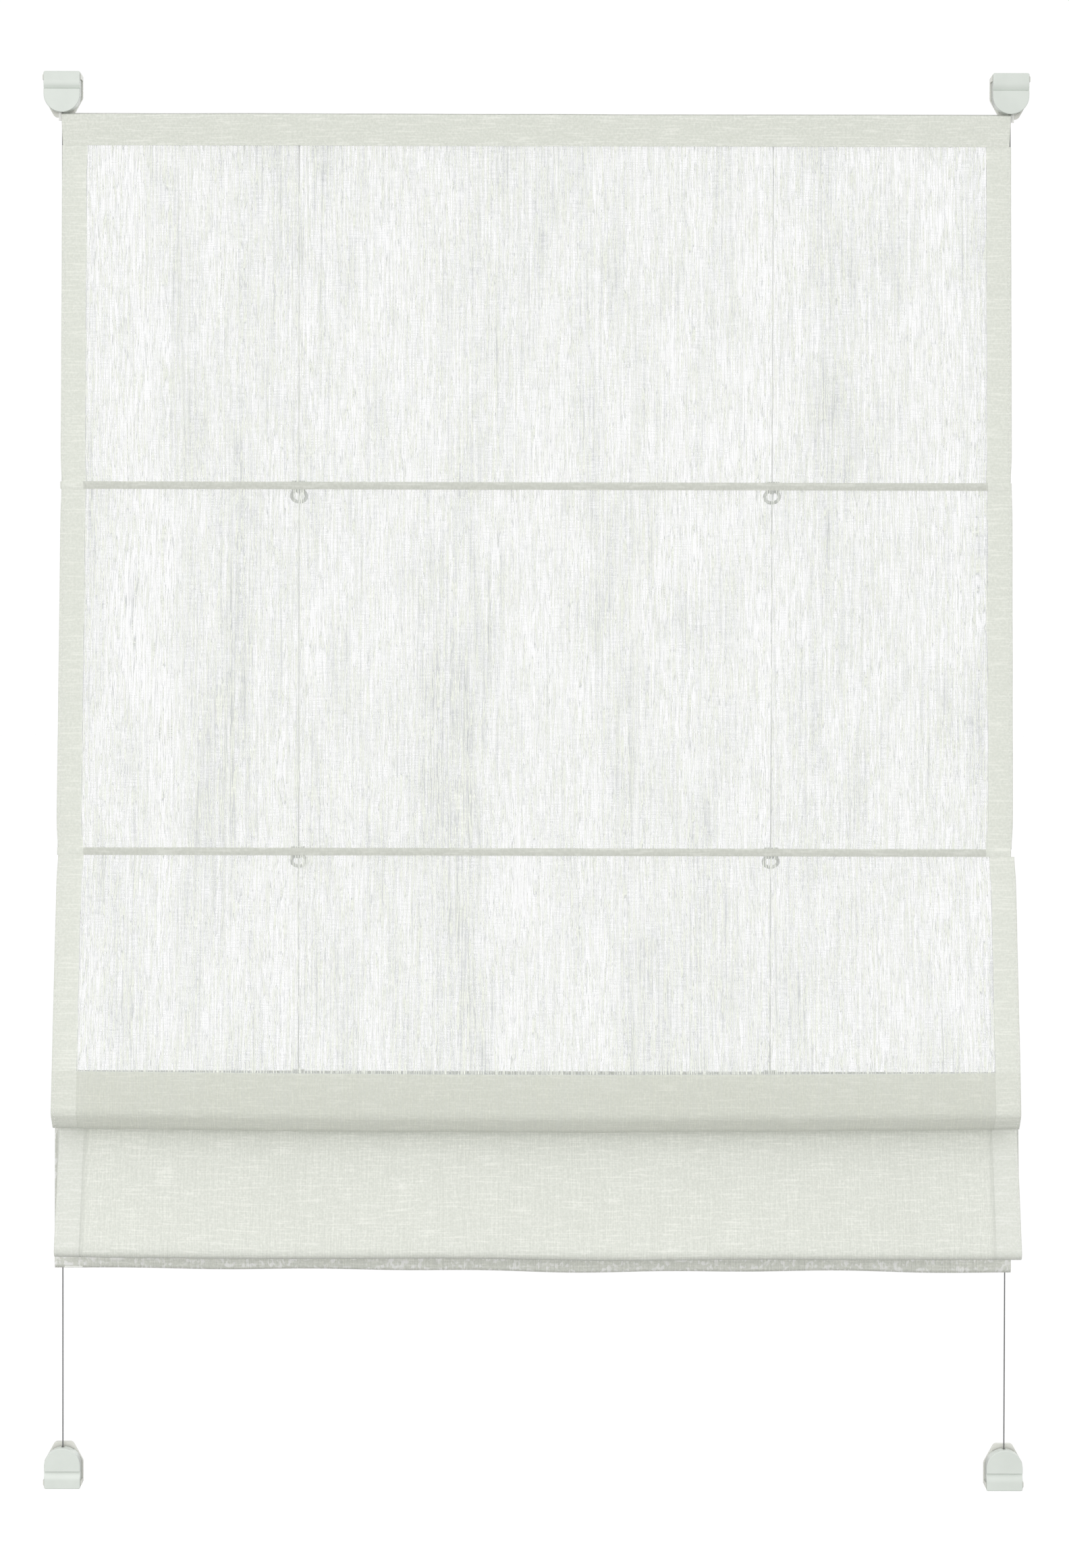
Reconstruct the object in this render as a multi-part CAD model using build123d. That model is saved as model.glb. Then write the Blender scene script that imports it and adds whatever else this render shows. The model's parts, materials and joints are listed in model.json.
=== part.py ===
from build123d import *
import math
import os

# Clamp-on roman blind, drawn up so that the two lowest cloth panels hang in folds.
# Frame: x = 0 is midway between the side wires, y = 0 is the sash's front face with the room
# on the -Y side, and z = 0 is the sash's top edge. All sizes are in millimetres.

# Overall sizes
SASH_HEIGHT = 1184.0
SASH_THICKNESS = 20.0
WIRE_SPACING = 798.0
CLOTH_OVERHANG = 3.0

# Cloth
CLOTH_T = 0.6
CLOTH_TOP_Z = -28.0
HEAD_BAND = 27.0
SIDE_HEM = 21.0
FIRST_DROP = 313.0
STAY_PITCH = 309.0
FLAP_DROP = 150.0
BOTTOM_HEM = 27.0
SHEET_GAP = 0.15

# How far the blind is drawn up: distance from stay 2 to stay 3, and the stacking pitch below it
LIFTED_PITCH = 189.0
STACK_PITCH = 15.0

# Folds of the two gathered panels
FOLD_FORWARD = {3: 60.0, 4: 50.0}
FOLD_WIDTH = 16.0
FOLD_RADIUS = 6.5
CREST_HEIGHT = 5.2
CREST_DEPTH = 3.5
CREST_RADIUS = 1.2
FOLD_START = 6.0

# Side wires and their guides
WIRE_Y = -8.0
WIRE_D = 1.0
FERRULE_D = 3.0
FERRULE_LENGTH = 3.5
EYE_BORE_D = 1.6
EYE_D = 4.6
EYE_HEIGHT = 6.0

# Stays
STAY_D = 4.0
STAY_END_GAP = 5.5
POCKET_WALL = 0.65
POCKET_BORE_CLEARANCE = 0.1
POCKET_BAND = 6.4
POCKET_END = 8.0
TIP_WALL = 0.5
TIP_CLEARANCE = 0.05
TIP_GRIP = 4.0

# Ring clips and lift cords
CORD_X = 200.0
CORD_D = 1.0
CLIP_D = 8.6
CLIP_WIDTH = 11.4
CLIP_FRONT_GAP = 0.2
RING_REACH = 10.6
RING_D = 15.4
RING_WIRE = 3.0
RING_TILT = 36.0
TONGUE_WIDTH = 3.6
TONGUE_LENGTH = 1.5
BEAD_D = 10.4
BEAD_HEIGHT = 8.0
KNOT_D = 3.6

# Sash clamp
COVER_WIDTH = 30.7
PLATE_SHOW = 1.0
PLATE_WIDTH = COVER_WIDTH + 2 * PLATE_SHOW
PLATE_T = 3.0
PLATE_REACH = 30.5
PLATE_TIP_WIDTH = 15.0
PLATE_TAPER = 16.0
PLATE_CORNER = 4.0
COVER_FRONT_Y = -13.5
COVER_WALL = 1.2
COVER_REACH = 27.5
CLAMP_RISE = 7.0
COVER_CORNER = 1.6
COVER_EDGE = 0.7
SNAP_GAP = 0.1
DIP_DEPTH = 2.4
DIP_TOP_Z = -0.5
DIP_LOW_Z = -8.0
CHEEK_FRONT_WALL = 1.6
CHEEK_SLOPE = 3.4
CHEEK_CROWN = 2.0
WIRE_NOTCH_WIDTH = 2.8
EAR_RELIEF_WIDTH = 18.0
HOOK_WIDTH = 16.0
HOOK_T = 4.0
HOOK_LIP = 12.0
HOOK_LIP_T = 2.0
HOOK_CLEARANCE = 0.1
SCREW_D = 2.5
SCREW_HEAD_D = 4.6
SCREW_HEAD_T = 1.6
SCREW_REACH = 9.0
HOUSING_FRONT_Y = -10.0
HOUSING_WALL = 1.7
HOUSING_FLOOR = 1.4
SHOE_WIDTH = 12.0
SHOE_HEIGHT = 6.0
SHOE_TOP_Z = -14.0
SHOE_FRONT_Y = -10.9
SHOE_STUD_D = 5.0
SHOE_STUD_LENGTH = 3.2
EAR_STUD_D = 4.0
EAR_STUD_Z = -24.0
EAR_T = 2.0
STUD_CLEARANCE = 0.05
SPRING_LENGTH = 6.0
SPRING_D = 3.6
SPRING_WIRE = 0.5
SPRING_TURNS = 4

# Head rail
RAIL_HEIGHT = 24.0
RAIL_DEPTH = 8.0
RAIL_WALL = 1.2
RAIL_LIP = 3.0
RAIL_END_GAP = 11.0
CAP_FLANGE = 3.0
CAP_PLUG = 8.0
CAP_CLEARANCE = 0.1
TAPE_HEIGHT = 20.0
TAPE_T = 0.6
TAPE_INSET = 14.0
GUIDE_D = 4.0
GUIDE_FLANGE_D = 5.4
GUIDE_FLANGE_T = 1.0
GUIDE_BORE_D = 2.0
CLEAT_END_GAP = 37.0
CLEAT_LENGTH = 22.0
CLEAT_HEIGHT = 15.0
SPOUT_D = 5.0
SPOUT_BORE_D = 3.0
SPOUT_OFFSET = 6.0
FITTING_DROP = 0.8
CORD_BEND = 3.0
RAIL_CORD_STEP = 4.0

# Bottom bar
BAR_HEIGHT = 20.0
BAR_T = 2.5
BAR_END_GAP = 9.0
BAR_TIP_WALL = 0.9
BAR_TIP_GRIP = 8.0
HEM_BACK_GAP = 0.35
HEM_SEAT_GAP = 0.3

# Places worked out from the sizes above
wire_x = WIRE_SPACING / 2
cloth_half = wire_x + CLOTH_OVERHANG
cloth_back_y = WIRE_Y - STAY_D / 2 - POCKET_WALL + 0.05
cloth_front_y = cloth_back_y - CLOTH_T
cloth_mid_y = cloth_back_y - CLOTH_T / 2
stay_z = [CLOTH_TOP_Z - FIRST_DROP, CLOTH_TOP_Z - FIRST_DROP - STAY_PITCH]
stay_z.append(stay_z[1] - LIFTED_PITCH)
stay_z.append(stay_z[2] - STACK_PITCH)
bottom_z = stay_z[3] - FLAP_DROP
stay_half = wire_x - STAY_END_GAP
band_reach = POCKET_BAND / 2
ring_drop = RING_REACH * math.cos(math.radians(RING_TILT))
ring_y = WIRE_Y + RING_REACH * math.sin(math.radians(RING_TILT))
rail_half = wire_x - RAIL_END_GAP
cleat_x = rail_half + CAP_FLANGE - CLEAT_END_GAP - CLEAT_LENGTH / 2
spout_x = cleat_x + SPOUT_OFFSET
housing_half = COVER_WIDTH / 2 - COVER_WALL - SNAP_GAP
cheek_front_y = COVER_FRONT_Y + CHEEK_FRONT_WALL + SNAP_GAP
dip_radius = ((DIP_TOP_Z - DIP_LOW_Z) ** 2 + DIP_DEPTH**2) / (2 * DIP_DEPTH)
head_back_y = cloth_front_y + 2 * CLOTH_T
rail_front_y = head_back_y + 2 * TAPE_T
rail_back_y = rail_front_y + RAIL_DEPTH
rail_mid_y = (rail_front_y + rail_back_y) / 2
rail_top_z = CLOTH_TOP_Z - (HEAD_BAND - RAIL_HEIGHT) / 2
rail_bottom_z = rail_top_z - RAIL_HEIGHT
hem_back_y = WIRE_Y + BAR_T / 2 + BAR_TIP_WALL + HEM_BACK_GAP + CLOTH_T
SIDES = {"left": -1, "right": 1}


def block(x0, x1, y0, y1, z0, z1):
    """Box between two corners."""
    middle = Pos((x0 + x1) / 2, (y0 + y1) / 2, (z0 + z1) / 2)
    return middle * Box(abs(x1 - x0), abs(y1 - y0), abs(z1 - z0))


def rod_x(x0, x1, y, z, diameter):
    """Round bar along X."""
    return Pos((x0 + x1) / 2, y, z) * Rot(0, 90, 0) * Cylinder(diameter / 2, x1 - x0)


def rod_y(x, z, y0, y1, diameter):
    """Round bar along Y."""
    return Pos(x, (y0 + y1) / 2, z) * Rot(90, 0, 0) * Cylinder(diameter / 2, abs(y1 - y0))


def rod_z(x, y, z0, z1, diameter):
    """Round bar along Z."""
    return Pos(x, y, (z0 + z1) / 2) * Cylinder(diameter / 2, abs(z1 - z0))


def slab_y(face, back_y, front_y):
    """A face drawn in the X-Z plane, thickened from back_y forward to front_y."""
    return extrude(Plane.XZ.offset(-back_y) * face, amount=back_y - front_y)


def ribbon(path, thickness, x0, x1):
    """A strip of cloth that follows a Y-Z path, from x0 to x1."""
    outline = offset(path, amount=thickness / 2, side=Side.BOTH, kind=Kind.ARC, closed=True)
    face = Plane.YZ.offset(x0) * make_face(outline.edges())
    return extrude(face, amount=x1 - x0)


def turned_over(piece):
    """The same clamp piece on the sash's bottom edge."""
    return Pos(0, 0, -SASH_HEIGHT) * mirror(piece, about=Plane.XY)


# ---------------------------------------------------------------- sash clamp, about x = 0


def bracket_cheek():
    """Solid flank of the bracket above the sash's edge, with a sloped shoulder."""
    half = PLATE_WIDTH / 2
    inner = housing_half + 2 * SNAP_GAP
    housing_top = CLAMP_RISE - COVER_WALL - SNAP_GAP
    outline = Polygon(
        (housing_half - 1, 0), (half, 0), (half, CLAMP_RISE - CHEEK_SLOPE), (half - CHEEK_CROWN, CLAMP_RISE),
        (inner, CLAMP_RISE), (inner, housing_top), (housing_half - 1, housing_top), align=None,
    )
    return slab_y(outline, 0, cheek_front_y)


def clamp_bracket():
    """Tapered plate on the sash's front, with the hook's housing, its cheeks and the two studs."""
    half = PLATE_WIDTH / 2
    tip = PLATE_TIP_WIDTH / 2
    outline = Polygon(
        (-half, 0), (-half, -(PLATE_REACH - PLATE_TAPER)), (-tip, -PLATE_REACH),
        (tip, -PLATE_REACH), (half, -(PLATE_REACH - PLATE_TAPER)), (half, 0), align=None,
    )
    rounded = [v for v in outline.vertices() if v.Y < -1]
    plate = slab_y(fillet(rounded, PLATE_CORNER), 0, -PLATE_T)

    housing_top = CLAMP_RISE - COVER_WALL - SNAP_GAP
    housing = block(-housing_half, housing_half, HOUSING_FRONT_Y, 0, -HOUSING_FLOOR, housing_top)
    cheek = bracket_cheek()
    housing += cheek + mirror(cheek, about=Plane.YZ)
    slot_half = HOOK_WIDTH / 2 + HOOK_CLEARANCE
    channel = block(-slot_half, slot_half, HOUSING_FRONT_Y + HOUSING_WALL, 1, 0, HOOK_T + HOOK_CLEARANCE)
    screw_hole = rod_y(0, HOOK_T / 2, HOUSING_FRONT_Y - 1, -PLATE_T, SCREW_D + 0.3)

    shoe_stud = rod_y(0, SHOE_TOP_Z - SHOE_HEIGHT / 2, -PLATE_T, -PLATE_T - SHOE_STUD_LENGTH, SHOE_STUD_D)
    ear_stud = rod_y(0, EAR_STUD_Z, -PLATE_T, -PLATE_T - EAR_T - SNAP_GAP, EAR_STUD_D)
    return plate + housing + shoe_stud + ear_stud - channel - screw_hole


def clamp_hook():
    """Strap over the sash's edge with a lip behind it and a threaded end for the screw."""
    half = HOOK_WIDTH / 2
    front = HOUSING_FRONT_Y + HOUSING_WALL + 0.4
    back = SASH_THICKNESS + HOOK_LIP_T
    strap = block(-half, half, front, back, 0, HOOK_T)
    lip = block(-half, half, SASH_THICKNESS, back, -HOOK_LIP, HOOK_T)
    hook = strap + lip
    outer = hook.edges().filter_by(Axis.X).sort_by(Axis.Y)[-2:]
    hook = fillet(outer.sort_by(Axis.Z)[-1], HOOK_LIP_T * 0.8)
    thread = rod_y(0, HOOK_T / 2, front - 1, front + SCREW_REACH, SCREW_D + 0.1)
    return hook - thread


def clamp_screw():
    """Pan-head screw with a cross slot, from the housing's front into the hook."""
    head = rod_y(0, HOOK_T / 2, HOUSING_FRONT_Y, HOUSING_FRONT_Y - SCREW_HEAD_T, SCREW_HEAD_D)
    shank = rod_y(0, HOOK_T / 2, HOUSING_FRONT_Y, HOUSING_FRONT_Y + SCREW_REACH, SCREW_D)
    slot_y = HOUSING_FRONT_Y - SCREW_HEAD_T
    slot_z = HOOK_T / 2
    reach = SCREW_HEAD_D * 0.32
    cross = block(-reach, reach, slot_y, slot_y + 0.8, slot_z - 0.3, slot_z + 0.3)
    cross += block(-0.3, 0.3, slot_y, slot_y + 0.8, slot_z - reach, slot_z + reach)
    return head + shank - cross


def clamp_shoe():
    """Block that sits on the bracket's stud and holds the end of the side wire."""
    bottom = SHOE_TOP_Z - SHOE_HEIGHT
    half = SHOE_WIDTH / 2
    shoe = block(-half, half, SHOE_FRONT_Y, -PLATE_T - SNAP_GAP, bottom, SHOE_TOP_Z)
    shoe = fillet(shoe.edges().filter_by(Axis.Z), 1.2)
    seat = rod_y(0, SHOE_TOP_Z - SHOE_HEIGHT / 2, -PLATE_T + 1, -PLATE_T - SHOE_STUD_LENGTH - SNAP_GAP,
                 SHOE_STUD_D + 2 * STUD_CLEARANCE)
    wire_hole = rod_z(0, WIRE_Y, bottom - 1, SHOE_TOP_Z + 1, WIRE_D + 0.3)
    return shoe - seat - wire_hole


def cover_outline(margin):
    """Square-topped outline with a half-round end, drawn inside the cover by margin."""
    radius = COVER_WIDTH / 2 - margin
    centre_z = COVER_WIDTH / 2 - COVER_REACH
    top_z = CLAMP_RISE - margin
    body = Pos(0, (top_z + centre_z) / 2) * Rectangle(2 * radius, top_z - centre_z)
    lower_half = Pos(0, -radius / 2) * Rectangle(2 * radius, radius)
    return body + Pos(0, centre_z) * (Circle(radius) & lower_half)


def cover_dip(margin):
    """What the dished band takes away from the cover's face, grown by margin for the inside."""
    dip = block(-COVER_WIDTH, COVER_WIDTH, COVER_FRONT_Y - 1, COVER_FRONT_Y + DIP_DEPTH + margin,
                DIP_LOW_Z - margin, DIP_TOP_Z)
    return dip - rod_x(-COVER_WIDTH, COVER_WIDTH, COVER_FRONT_Y + dip_radius, DIP_TOP_Z,
                       2 * (dip_radius - margin))


def clamp_cover():
    """Snap-on shell with a dished band across its face, open flanks and a notch for the wire."""
    rim_y = -PLATE_T - SNAP_GAP
    shell = slab_y(cover_outline(0), rim_y, COVER_FRONT_Y)
    top_corners = shell.edges().filter_by(Axis.Y).group_by(Axis.Z)[-1]
    shell = fillet(top_corners, COVER_CORNER)
    shell = fillet(shell.faces().sort_by(Axis.Y)[0].edges(), COVER_EDGE)
    shell -= cover_dip(0)
    shell -= slab_y(cover_outline(COVER_WALL), rim_y + 1, COVER_FRONT_Y + COVER_WALL) - cover_dip(COVER_WALL)

    flank = block(housing_half + SNAP_GAP, COVER_WIDTH, cheek_front_y - SNAP_GAP, rim_y + 1,
                  -SNAP_GAP, CLAMP_RISE + 1)
    notch_half = WIRE_NOTCH_WIDTH / 2
    notch = block(-notch_half, notch_half, rim_y + 1, WIRE_Y - notch_half, -COVER_REACH - 1, SHOE_TOP_Z)
    relief_half = EAR_RELIEF_WIDTH / 2
    relief = block(-relief_half, relief_half, rim_y + 1, rim_y - EAR_T - 3 * SNAP_GAP,
                   -COVER_REACH - 1, SHOE_TOP_Z - SHOE_HEIGHT)
    return shell - flank - mirror(flank, about=Plane.YZ) - notch - relief


def ferrule(z0):
    """Crimped sleeve on the wire, upwards from z0."""
    sleeve = rod_z(0, WIRE_Y, z0, z0 + FERRULE_LENGTH, FERRULE_D)
    sleeve = chamfer(sleeve.edges().filter_by(GeomType.CIRCLE), 0.3)
    return sleeve - rod_z(0, WIRE_Y, z0 - 1, z0 + FERRULE_LENGTH + 1, WIRE_D)


def tension_spring():
    """Coil spring between the shoe and the ferrule of a lower clamp."""
    coil_length = SPRING_LENGTH - 2 * SPRING_WIRE
    line = Helix(coil_length / SPRING_TURNS, coil_length, (SPRING_D - SPRING_WIRE) / 2)
    section = Plane(origin=line @ 0, z_dir=line % 0) * Circle(SPRING_WIRE / 2)
    return Pos(0, WIRE_Y, SHOE_TOP_Z + SPRING_WIRE) * sweep(section, path=line)


def side_wire():
    """Taut wire from the upper ferrule to the lower one."""
    top = SHOE_TOP_Z + FERRULE_LENGTH
    bottom = -SASH_HEIGHT - SHOE_TOP_Z - SPRING_LENGTH - FERRULE_LENGTH
    return rod_z(0, WIRE_Y, bottom, top, WIRE_D)


# ---------------------------------------------------------------- head


def head_rail():
    """Channel rail, open towards the window, with two small lips."""
    rail = block(-rail_half, rail_half, rail_front_y, rail_back_y, rail_bottom_z, rail_top_z)
    hollow = block(-rail_half - 1, rail_half + 1, rail_front_y + RAIL_WALL, rail_back_y - RAIL_WALL,
                   rail_bottom_z + RAIL_WALL, rail_top_z - RAIL_WALL)
    mouth = block(-rail_half - 1, rail_half + 1, rail_back_y - RAIL_WALL - 1, rail_back_y + 1,
                  rail_bottom_z + RAIL_LIP, rail_top_z - RAIL_LIP)
    rail = rail - hollow - mouth
    for x in (-CORD_X, CORD_X):
        rail -= rod_z(x, rail_mid_y, rail_bottom_z - 1, rail_bottom_z + 2, GUIDE_D + 0.1)
    return rail - rod_z(spout_x, rail_mid_y, rail_bottom_z - 1, rail_bottom_z + 2, SPOUT_D + 0.2)


def rail_cap(side):
    """Rail end cap with the ear that hangs on the clamp bracket's stud."""
    sign = SIDES[side]
    flange_x = rail_half + CAP_FLANGE
    flange = block(rail_half, flange_x, rail_front_y, rail_back_y, rail_bottom_z, rail_top_z)
    inset = RAIL_WALL + CAP_CLEARANCE
    plug = block(rail_half - CAP_PLUG, rail_half, rail_front_y + inset, rail_back_y - inset,
                 rail_bottom_z + inset, rail_top_z - inset)
    ear_front = -PLATE_T - SNAP_GAP - EAR_T
    ear_back = -PLATE_T - SNAP_GAP
    ear_radius = EAR_STUD_D / 2 + 1.7
    foot = block(rail_half, wire_x + ear_radius, ear_front, ear_back, rail_top_z - 4, rail_top_z + 1)
    neck = block(wire_x - ear_radius, wire_x + ear_radius, ear_front, ear_back, rail_top_z - 4, EAR_STUD_Z)
    crown = rod_y(wire_x, EAR_STUD_Z, ear_front, ear_back, 2 * ear_radius)
    hole = rod_y(wire_x, EAR_STUD_Z, ear_front - 1, ear_back + 1, EAR_STUD_D + 2 * STUD_CLEARANCE)
    cap = flange + plug + foot + neck + crown - hole
    return cap if sign > 0 else mirror(cap, about=Plane.YZ)


def tape(front_y, back_y):
    """One half of the hook and loop tape behind the head band."""
    half = wire_x - TAPE_INSET
    middle = (rail_top_z + rail_bottom_z) / 2
    return block(-half, half, front_y, back_y, middle - TAPE_HEIGHT / 2, middle + TAPE_HEIGHT / 2)


def cord_guides():
    """Two flanged bushes in the rail's floor for the lift cords."""
    floor_z = rail_bottom_z + RAIL_WALL
    group = []
    for x in (-CORD_X, CORD_X):
        bush = rod_z(x, rail_mid_y, rail_bottom_z - FITTING_DROP, floor_z, GUIDE_D)
        bush += rod_z(x, rail_mid_y, floor_z, floor_z + GUIDE_FLANGE_T, GUIDE_FLANGE_D)
        bore = rod_z(x, rail_mid_y, rail_bottom_z - 2, floor_z + 3, GUIDE_BORE_D)
        group.append(bush - bore)
    return Compound(group)


def rail_cord(x, run_z):
    """A lift cord's run inside the rail: up through its guide and along to the cleat."""
    end = cleat_x + 4
    path = FilletPolyline((x, rail_mid_y, rail_bottom_z), (x, rail_mid_y, run_z), (end, rail_mid_y, run_z),
                          radius=CORD_BEND)
    section = Plane(origin=path @ 0, z_dir=path % 0) * Circle(CORD_D / 2)
    return sweep(section, path=path)


def rail_cord_levels():
    """Heights of the two cords' runs in the rail: the left one passes above the right one."""
    middle = (rail_top_z + rail_bottom_z) / 2
    return {"left": middle + RAIL_CORD_STEP / 2, "right": middle - RAIL_CORD_STEP / 2}


def cord_cleat():
    """Moulded jam cleat on the rail's front wall, with a spout through the floor as the cord's outlet."""
    levels = rail_cord_levels()
    front = rail_front_y + RAIL_WALL
    depth_half = rail_mid_y - front
    x0 = cleat_x - CLEAT_LENGTH / 2
    x1 = cleat_x + CLEAT_LENGTH / 2
    floor_z = rail_bottom_z + RAIL_WALL
    middle = (rail_top_z + rail_bottom_z) / 2
    body = block(x0, x1, front, rail_mid_y + depth_half, floor_z, middle + CLEAT_HEIGHT / 2)
    for z in levels.values():
        body -= rod_x(x0 - 1, cleat_x + 4, rail_mid_y, z, CORD_D)
    body += rod_z(spout_x, rail_mid_y, rail_bottom_z - FITTING_DROP, floor_z, SPOUT_D)
    return body - rod_z(spout_x, rail_mid_y, rail_bottom_z - 2, levels["right"] - 1.5, SPOUT_BORE_D)


# ---------------------------------------------------------------- cloth


def side_hems(z0, z1):
    """The folded-under layer behind both side edges of a flat panel."""
    inner = cloth_half - SIDE_HEM
    left = block(-cloth_half, -inner, cloth_back_y, cloth_back_y + CLOTH_T, z0, z1)
    right = block(inner, cloth_half, cloth_back_y, cloth_back_y + CLOTH_T, z0, z1)
    return left + right


def flat_panel(top_z, low_z):
    """A panel that hangs flat, with its side hems."""
    sheet = block(-cloth_half, cloth_half, cloth_front_y, cloth_back_y, low_z, top_z)
    return sheet + side_hems(low_z, top_z)


def cloth_head():
    """Doubled band over the head rail's front."""
    low_z = CLOTH_TOP_Z - HEAD_BAND
    return block(-cloth_half, cloth_half, cloth_front_y, head_back_y, low_z, CLOTH_TOP_Z)


def fold_path(upper_z, lower_z, forward, fold_z):
    """Section of a gathered panel: down and forward, round the fold, back up and over the lower stay."""
    front_y = cloth_mid_y - forward
    crest_y = cloth_mid_y - CREST_DEPTH
    crest_z = lower_z + CREST_HEIGHT
    start_z = upper_z - band_reach - SHEET_GAP - CLOTH_T
    end_z = lower_z + band_reach + SHEET_GAP + CLOTH_T
    points = [
        (cloth_mid_y, start_z),
        (front_y, fold_z),
        (front_y + FOLD_WIDTH, fold_z),
        (crest_y, crest_z),
        (cloth_mid_y, crest_z),
        (cloth_mid_y, end_z),
    ]
    if upper_z - lower_z < 2 * STACK_PITCH:
        points.insert(1, (cloth_mid_y - FOLD_START, start_z - FOLD_START))
        return FilletPolyline(*points, radius=[FOLD_START / 2] + [FOLD_RADIUS] * 2 + [CREST_RADIUS] * 2)
    return FilletPolyline(*points, radius=[FOLD_RADIUS] * 2 + [CREST_RADIUS] * 2)


def folded_panel(number):
    """A gathered panel whose fold hangs as low as its cloth allows, with thicker side hems."""
    upper_z, lower_z = stay_z[number - 2], stay_z[number - 1]
    length = STAY_PITCH - POCKET_BAND - 2 * SHEET_GAP
    low, high = lower_z - STAY_PITCH, lower_z - 2 * FOLD_RADIUS
    for _ in range(30):
        fold_z = (low + high) / 2
        if fold_path(upper_z, lower_z, FOLD_FORWARD[number], fold_z).length > length:
            low = fold_z
        else:
            high = fold_z
    path = fold_path(upper_z, lower_z, FOLD_FORWARD[number], fold_z)
    print(f"panel {number}: fold at z {fold_z:.1f}, cloth {path.length:.1f} long")
    inner = cloth_half - SIDE_HEM
    sheet = ribbon(path, CLOTH_T, -inner, inner)
    hem = 2 * CLOTH_T
    return sheet + ribbon(path, hem, -cloth_half, -inner) + ribbon(path, hem, inner, cloth_half)


def cloth_flap():
    """Cloth below the lowest stay, with the bottom hem sewn round the bottom bar."""
    sheet = flat_panel(stay_z[3] - band_reach - SHEET_GAP, bottom_z + BOTTOM_HEM)
    tube_half = stay_half
    back_y = hem_back_y
    front = block(-cloth_half, cloth_half, cloth_front_y, cloth_back_y, bottom_z, bottom_z + BOTTOM_HEM)
    tube = block(-tube_half, tube_half, cloth_front_y, back_y, bottom_z, bottom_z + BOTTOM_HEM)
    hollow = block(-tube_half - 1, tube_half + 1, cloth_back_y, back_y - CLOTH_T,
                   bottom_z + CLOTH_T, bottom_z + BOTTOM_HEM - CLOTH_T)
    return sheet + front + tube - hollow


# ---------------------------------------------------------------- stays


def stay_rod(z):
    """Round stay that stiffens the cloth."""
    return rod_x(-stay_half, stay_half, WIRE_Y, z, STAY_D)


def stay_pocket(z):
    """Cloth band across the blind with the sewn tube that holds the stay, open at the clips."""
    band = block(-cloth_half, cloth_half, cloth_front_y, cloth_back_y, z - band_reach, z + band_reach)
    bore = STAY_D + 2 * POCKET_BORE_CLEARANCE
    tube = rod_x(-wire_x + POCKET_END + TIP_GRIP, wire_x - POCKET_END - TIP_GRIP, WIRE_Y, z,
                 STAY_D + 2 * POCKET_WALL)
    gap_half = CLIP_WIDTH / 2 + 0.5
    for x in (-CORD_X, CORD_X):
        tube -= block(x - gap_half, x + gap_half, cloth_back_y, WIRE_Y + STAY_D, z - STAY_D, z + STAY_D)
    return band + tube - rod_x(-cloth_half, cloth_half, WIRE_Y, z, bore)


def ring_clips(z):
    """Left and right clips that grip the stay from behind, each with its lift cord ring."""
    group = []
    for x in (-CORD_X, CORD_X):
        x0, x1 = x - CLIP_WIDTH / 2, x + CLIP_WIDTH / 2
        grip = rod_x(x0, x1, WIRE_Y, z, CLIP_D)
        grip -= block(x0 - 1, x1 + 1, WIRE_Y - CLIP_D, cloth_back_y + CLIP_FRONT_GAP, z - CLIP_D, z + CLIP_D)
        swing = Pos(x, WIRE_Y, z) * Rot(RING_TILT, 0, 0)
        ring = Pos(0, 0, -RING_REACH) * Rot(90, 0, 0) * Torus((RING_D - RING_WIRE) / 2, RING_WIRE / 2)
        neck_top, neck_low = CLIP_D * 0.4, RING_REACH - RING_D / 2 + RING_WIRE * 0.7
        neck = Pos(0, 0, -(neck_top + neck_low) / 2) * Box(RING_D * 0.45, RING_WIRE * 0.8, neck_low - neck_top)
        ring_inside = RING_REACH - RING_D / 2 + RING_WIRE
        tongue = Pos(0, 0, -ring_inside) * Box(TONGUE_WIDTH, RING_WIRE * 0.4, 2 * TONGUE_LENGTH)
        bore = rod_x(x0 - 1, x1 + 1, WIRE_Y, z, STAY_D + 2 * TIP_CLEARANCE)
        group.append(grip + swing * ring + swing * neck + swing * tongue - bore)
    return Compound(group)


def stay_tips(z):
    """End caps of a stay, each with the eye that runs on its side wire."""
    group = []
    for sign in (-1, 1):
        x_open = wire_x - POCKET_END - TIP_GRIP + 0.5
        outer = STAY_D + 2 * TIP_WALL
        barrel = rod_x(x_open, wire_x - EYE_BORE_D / 2 - 0.9, WIRE_Y, z, outer)
        barrel -= rod_x(x_open - 1, stay_half, WIRE_Y, z, STAY_D + 2 * TIP_CLEARANCE)
        eye = rod_z(wire_x, WIRE_Y, z - EYE_HEIGHT / 2, z + EYE_HEIGHT / 2, EYE_D)
        tip = barrel + eye
        tip -= rod_z(wire_x, WIRE_Y, z - EYE_HEIGHT, z + EYE_HEIGHT, EYE_BORE_D)
        group.append(tip if sign > 0 else mirror(tip, about=Plane.YZ))
    return Compound(group)


# ---------------------------------------------------------------- bottom bar


def bottom_bar():
    """Flat bar that weights the bottom hem."""
    half = wire_x - BAR_END_GAP
    low = bottom_z + CLOTH_T + HEM_SEAT_GAP
    return block(-half, half, WIRE_Y - BAR_T / 2, WIRE_Y + BAR_T / 2, low, low + BAR_HEIGHT)


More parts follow.
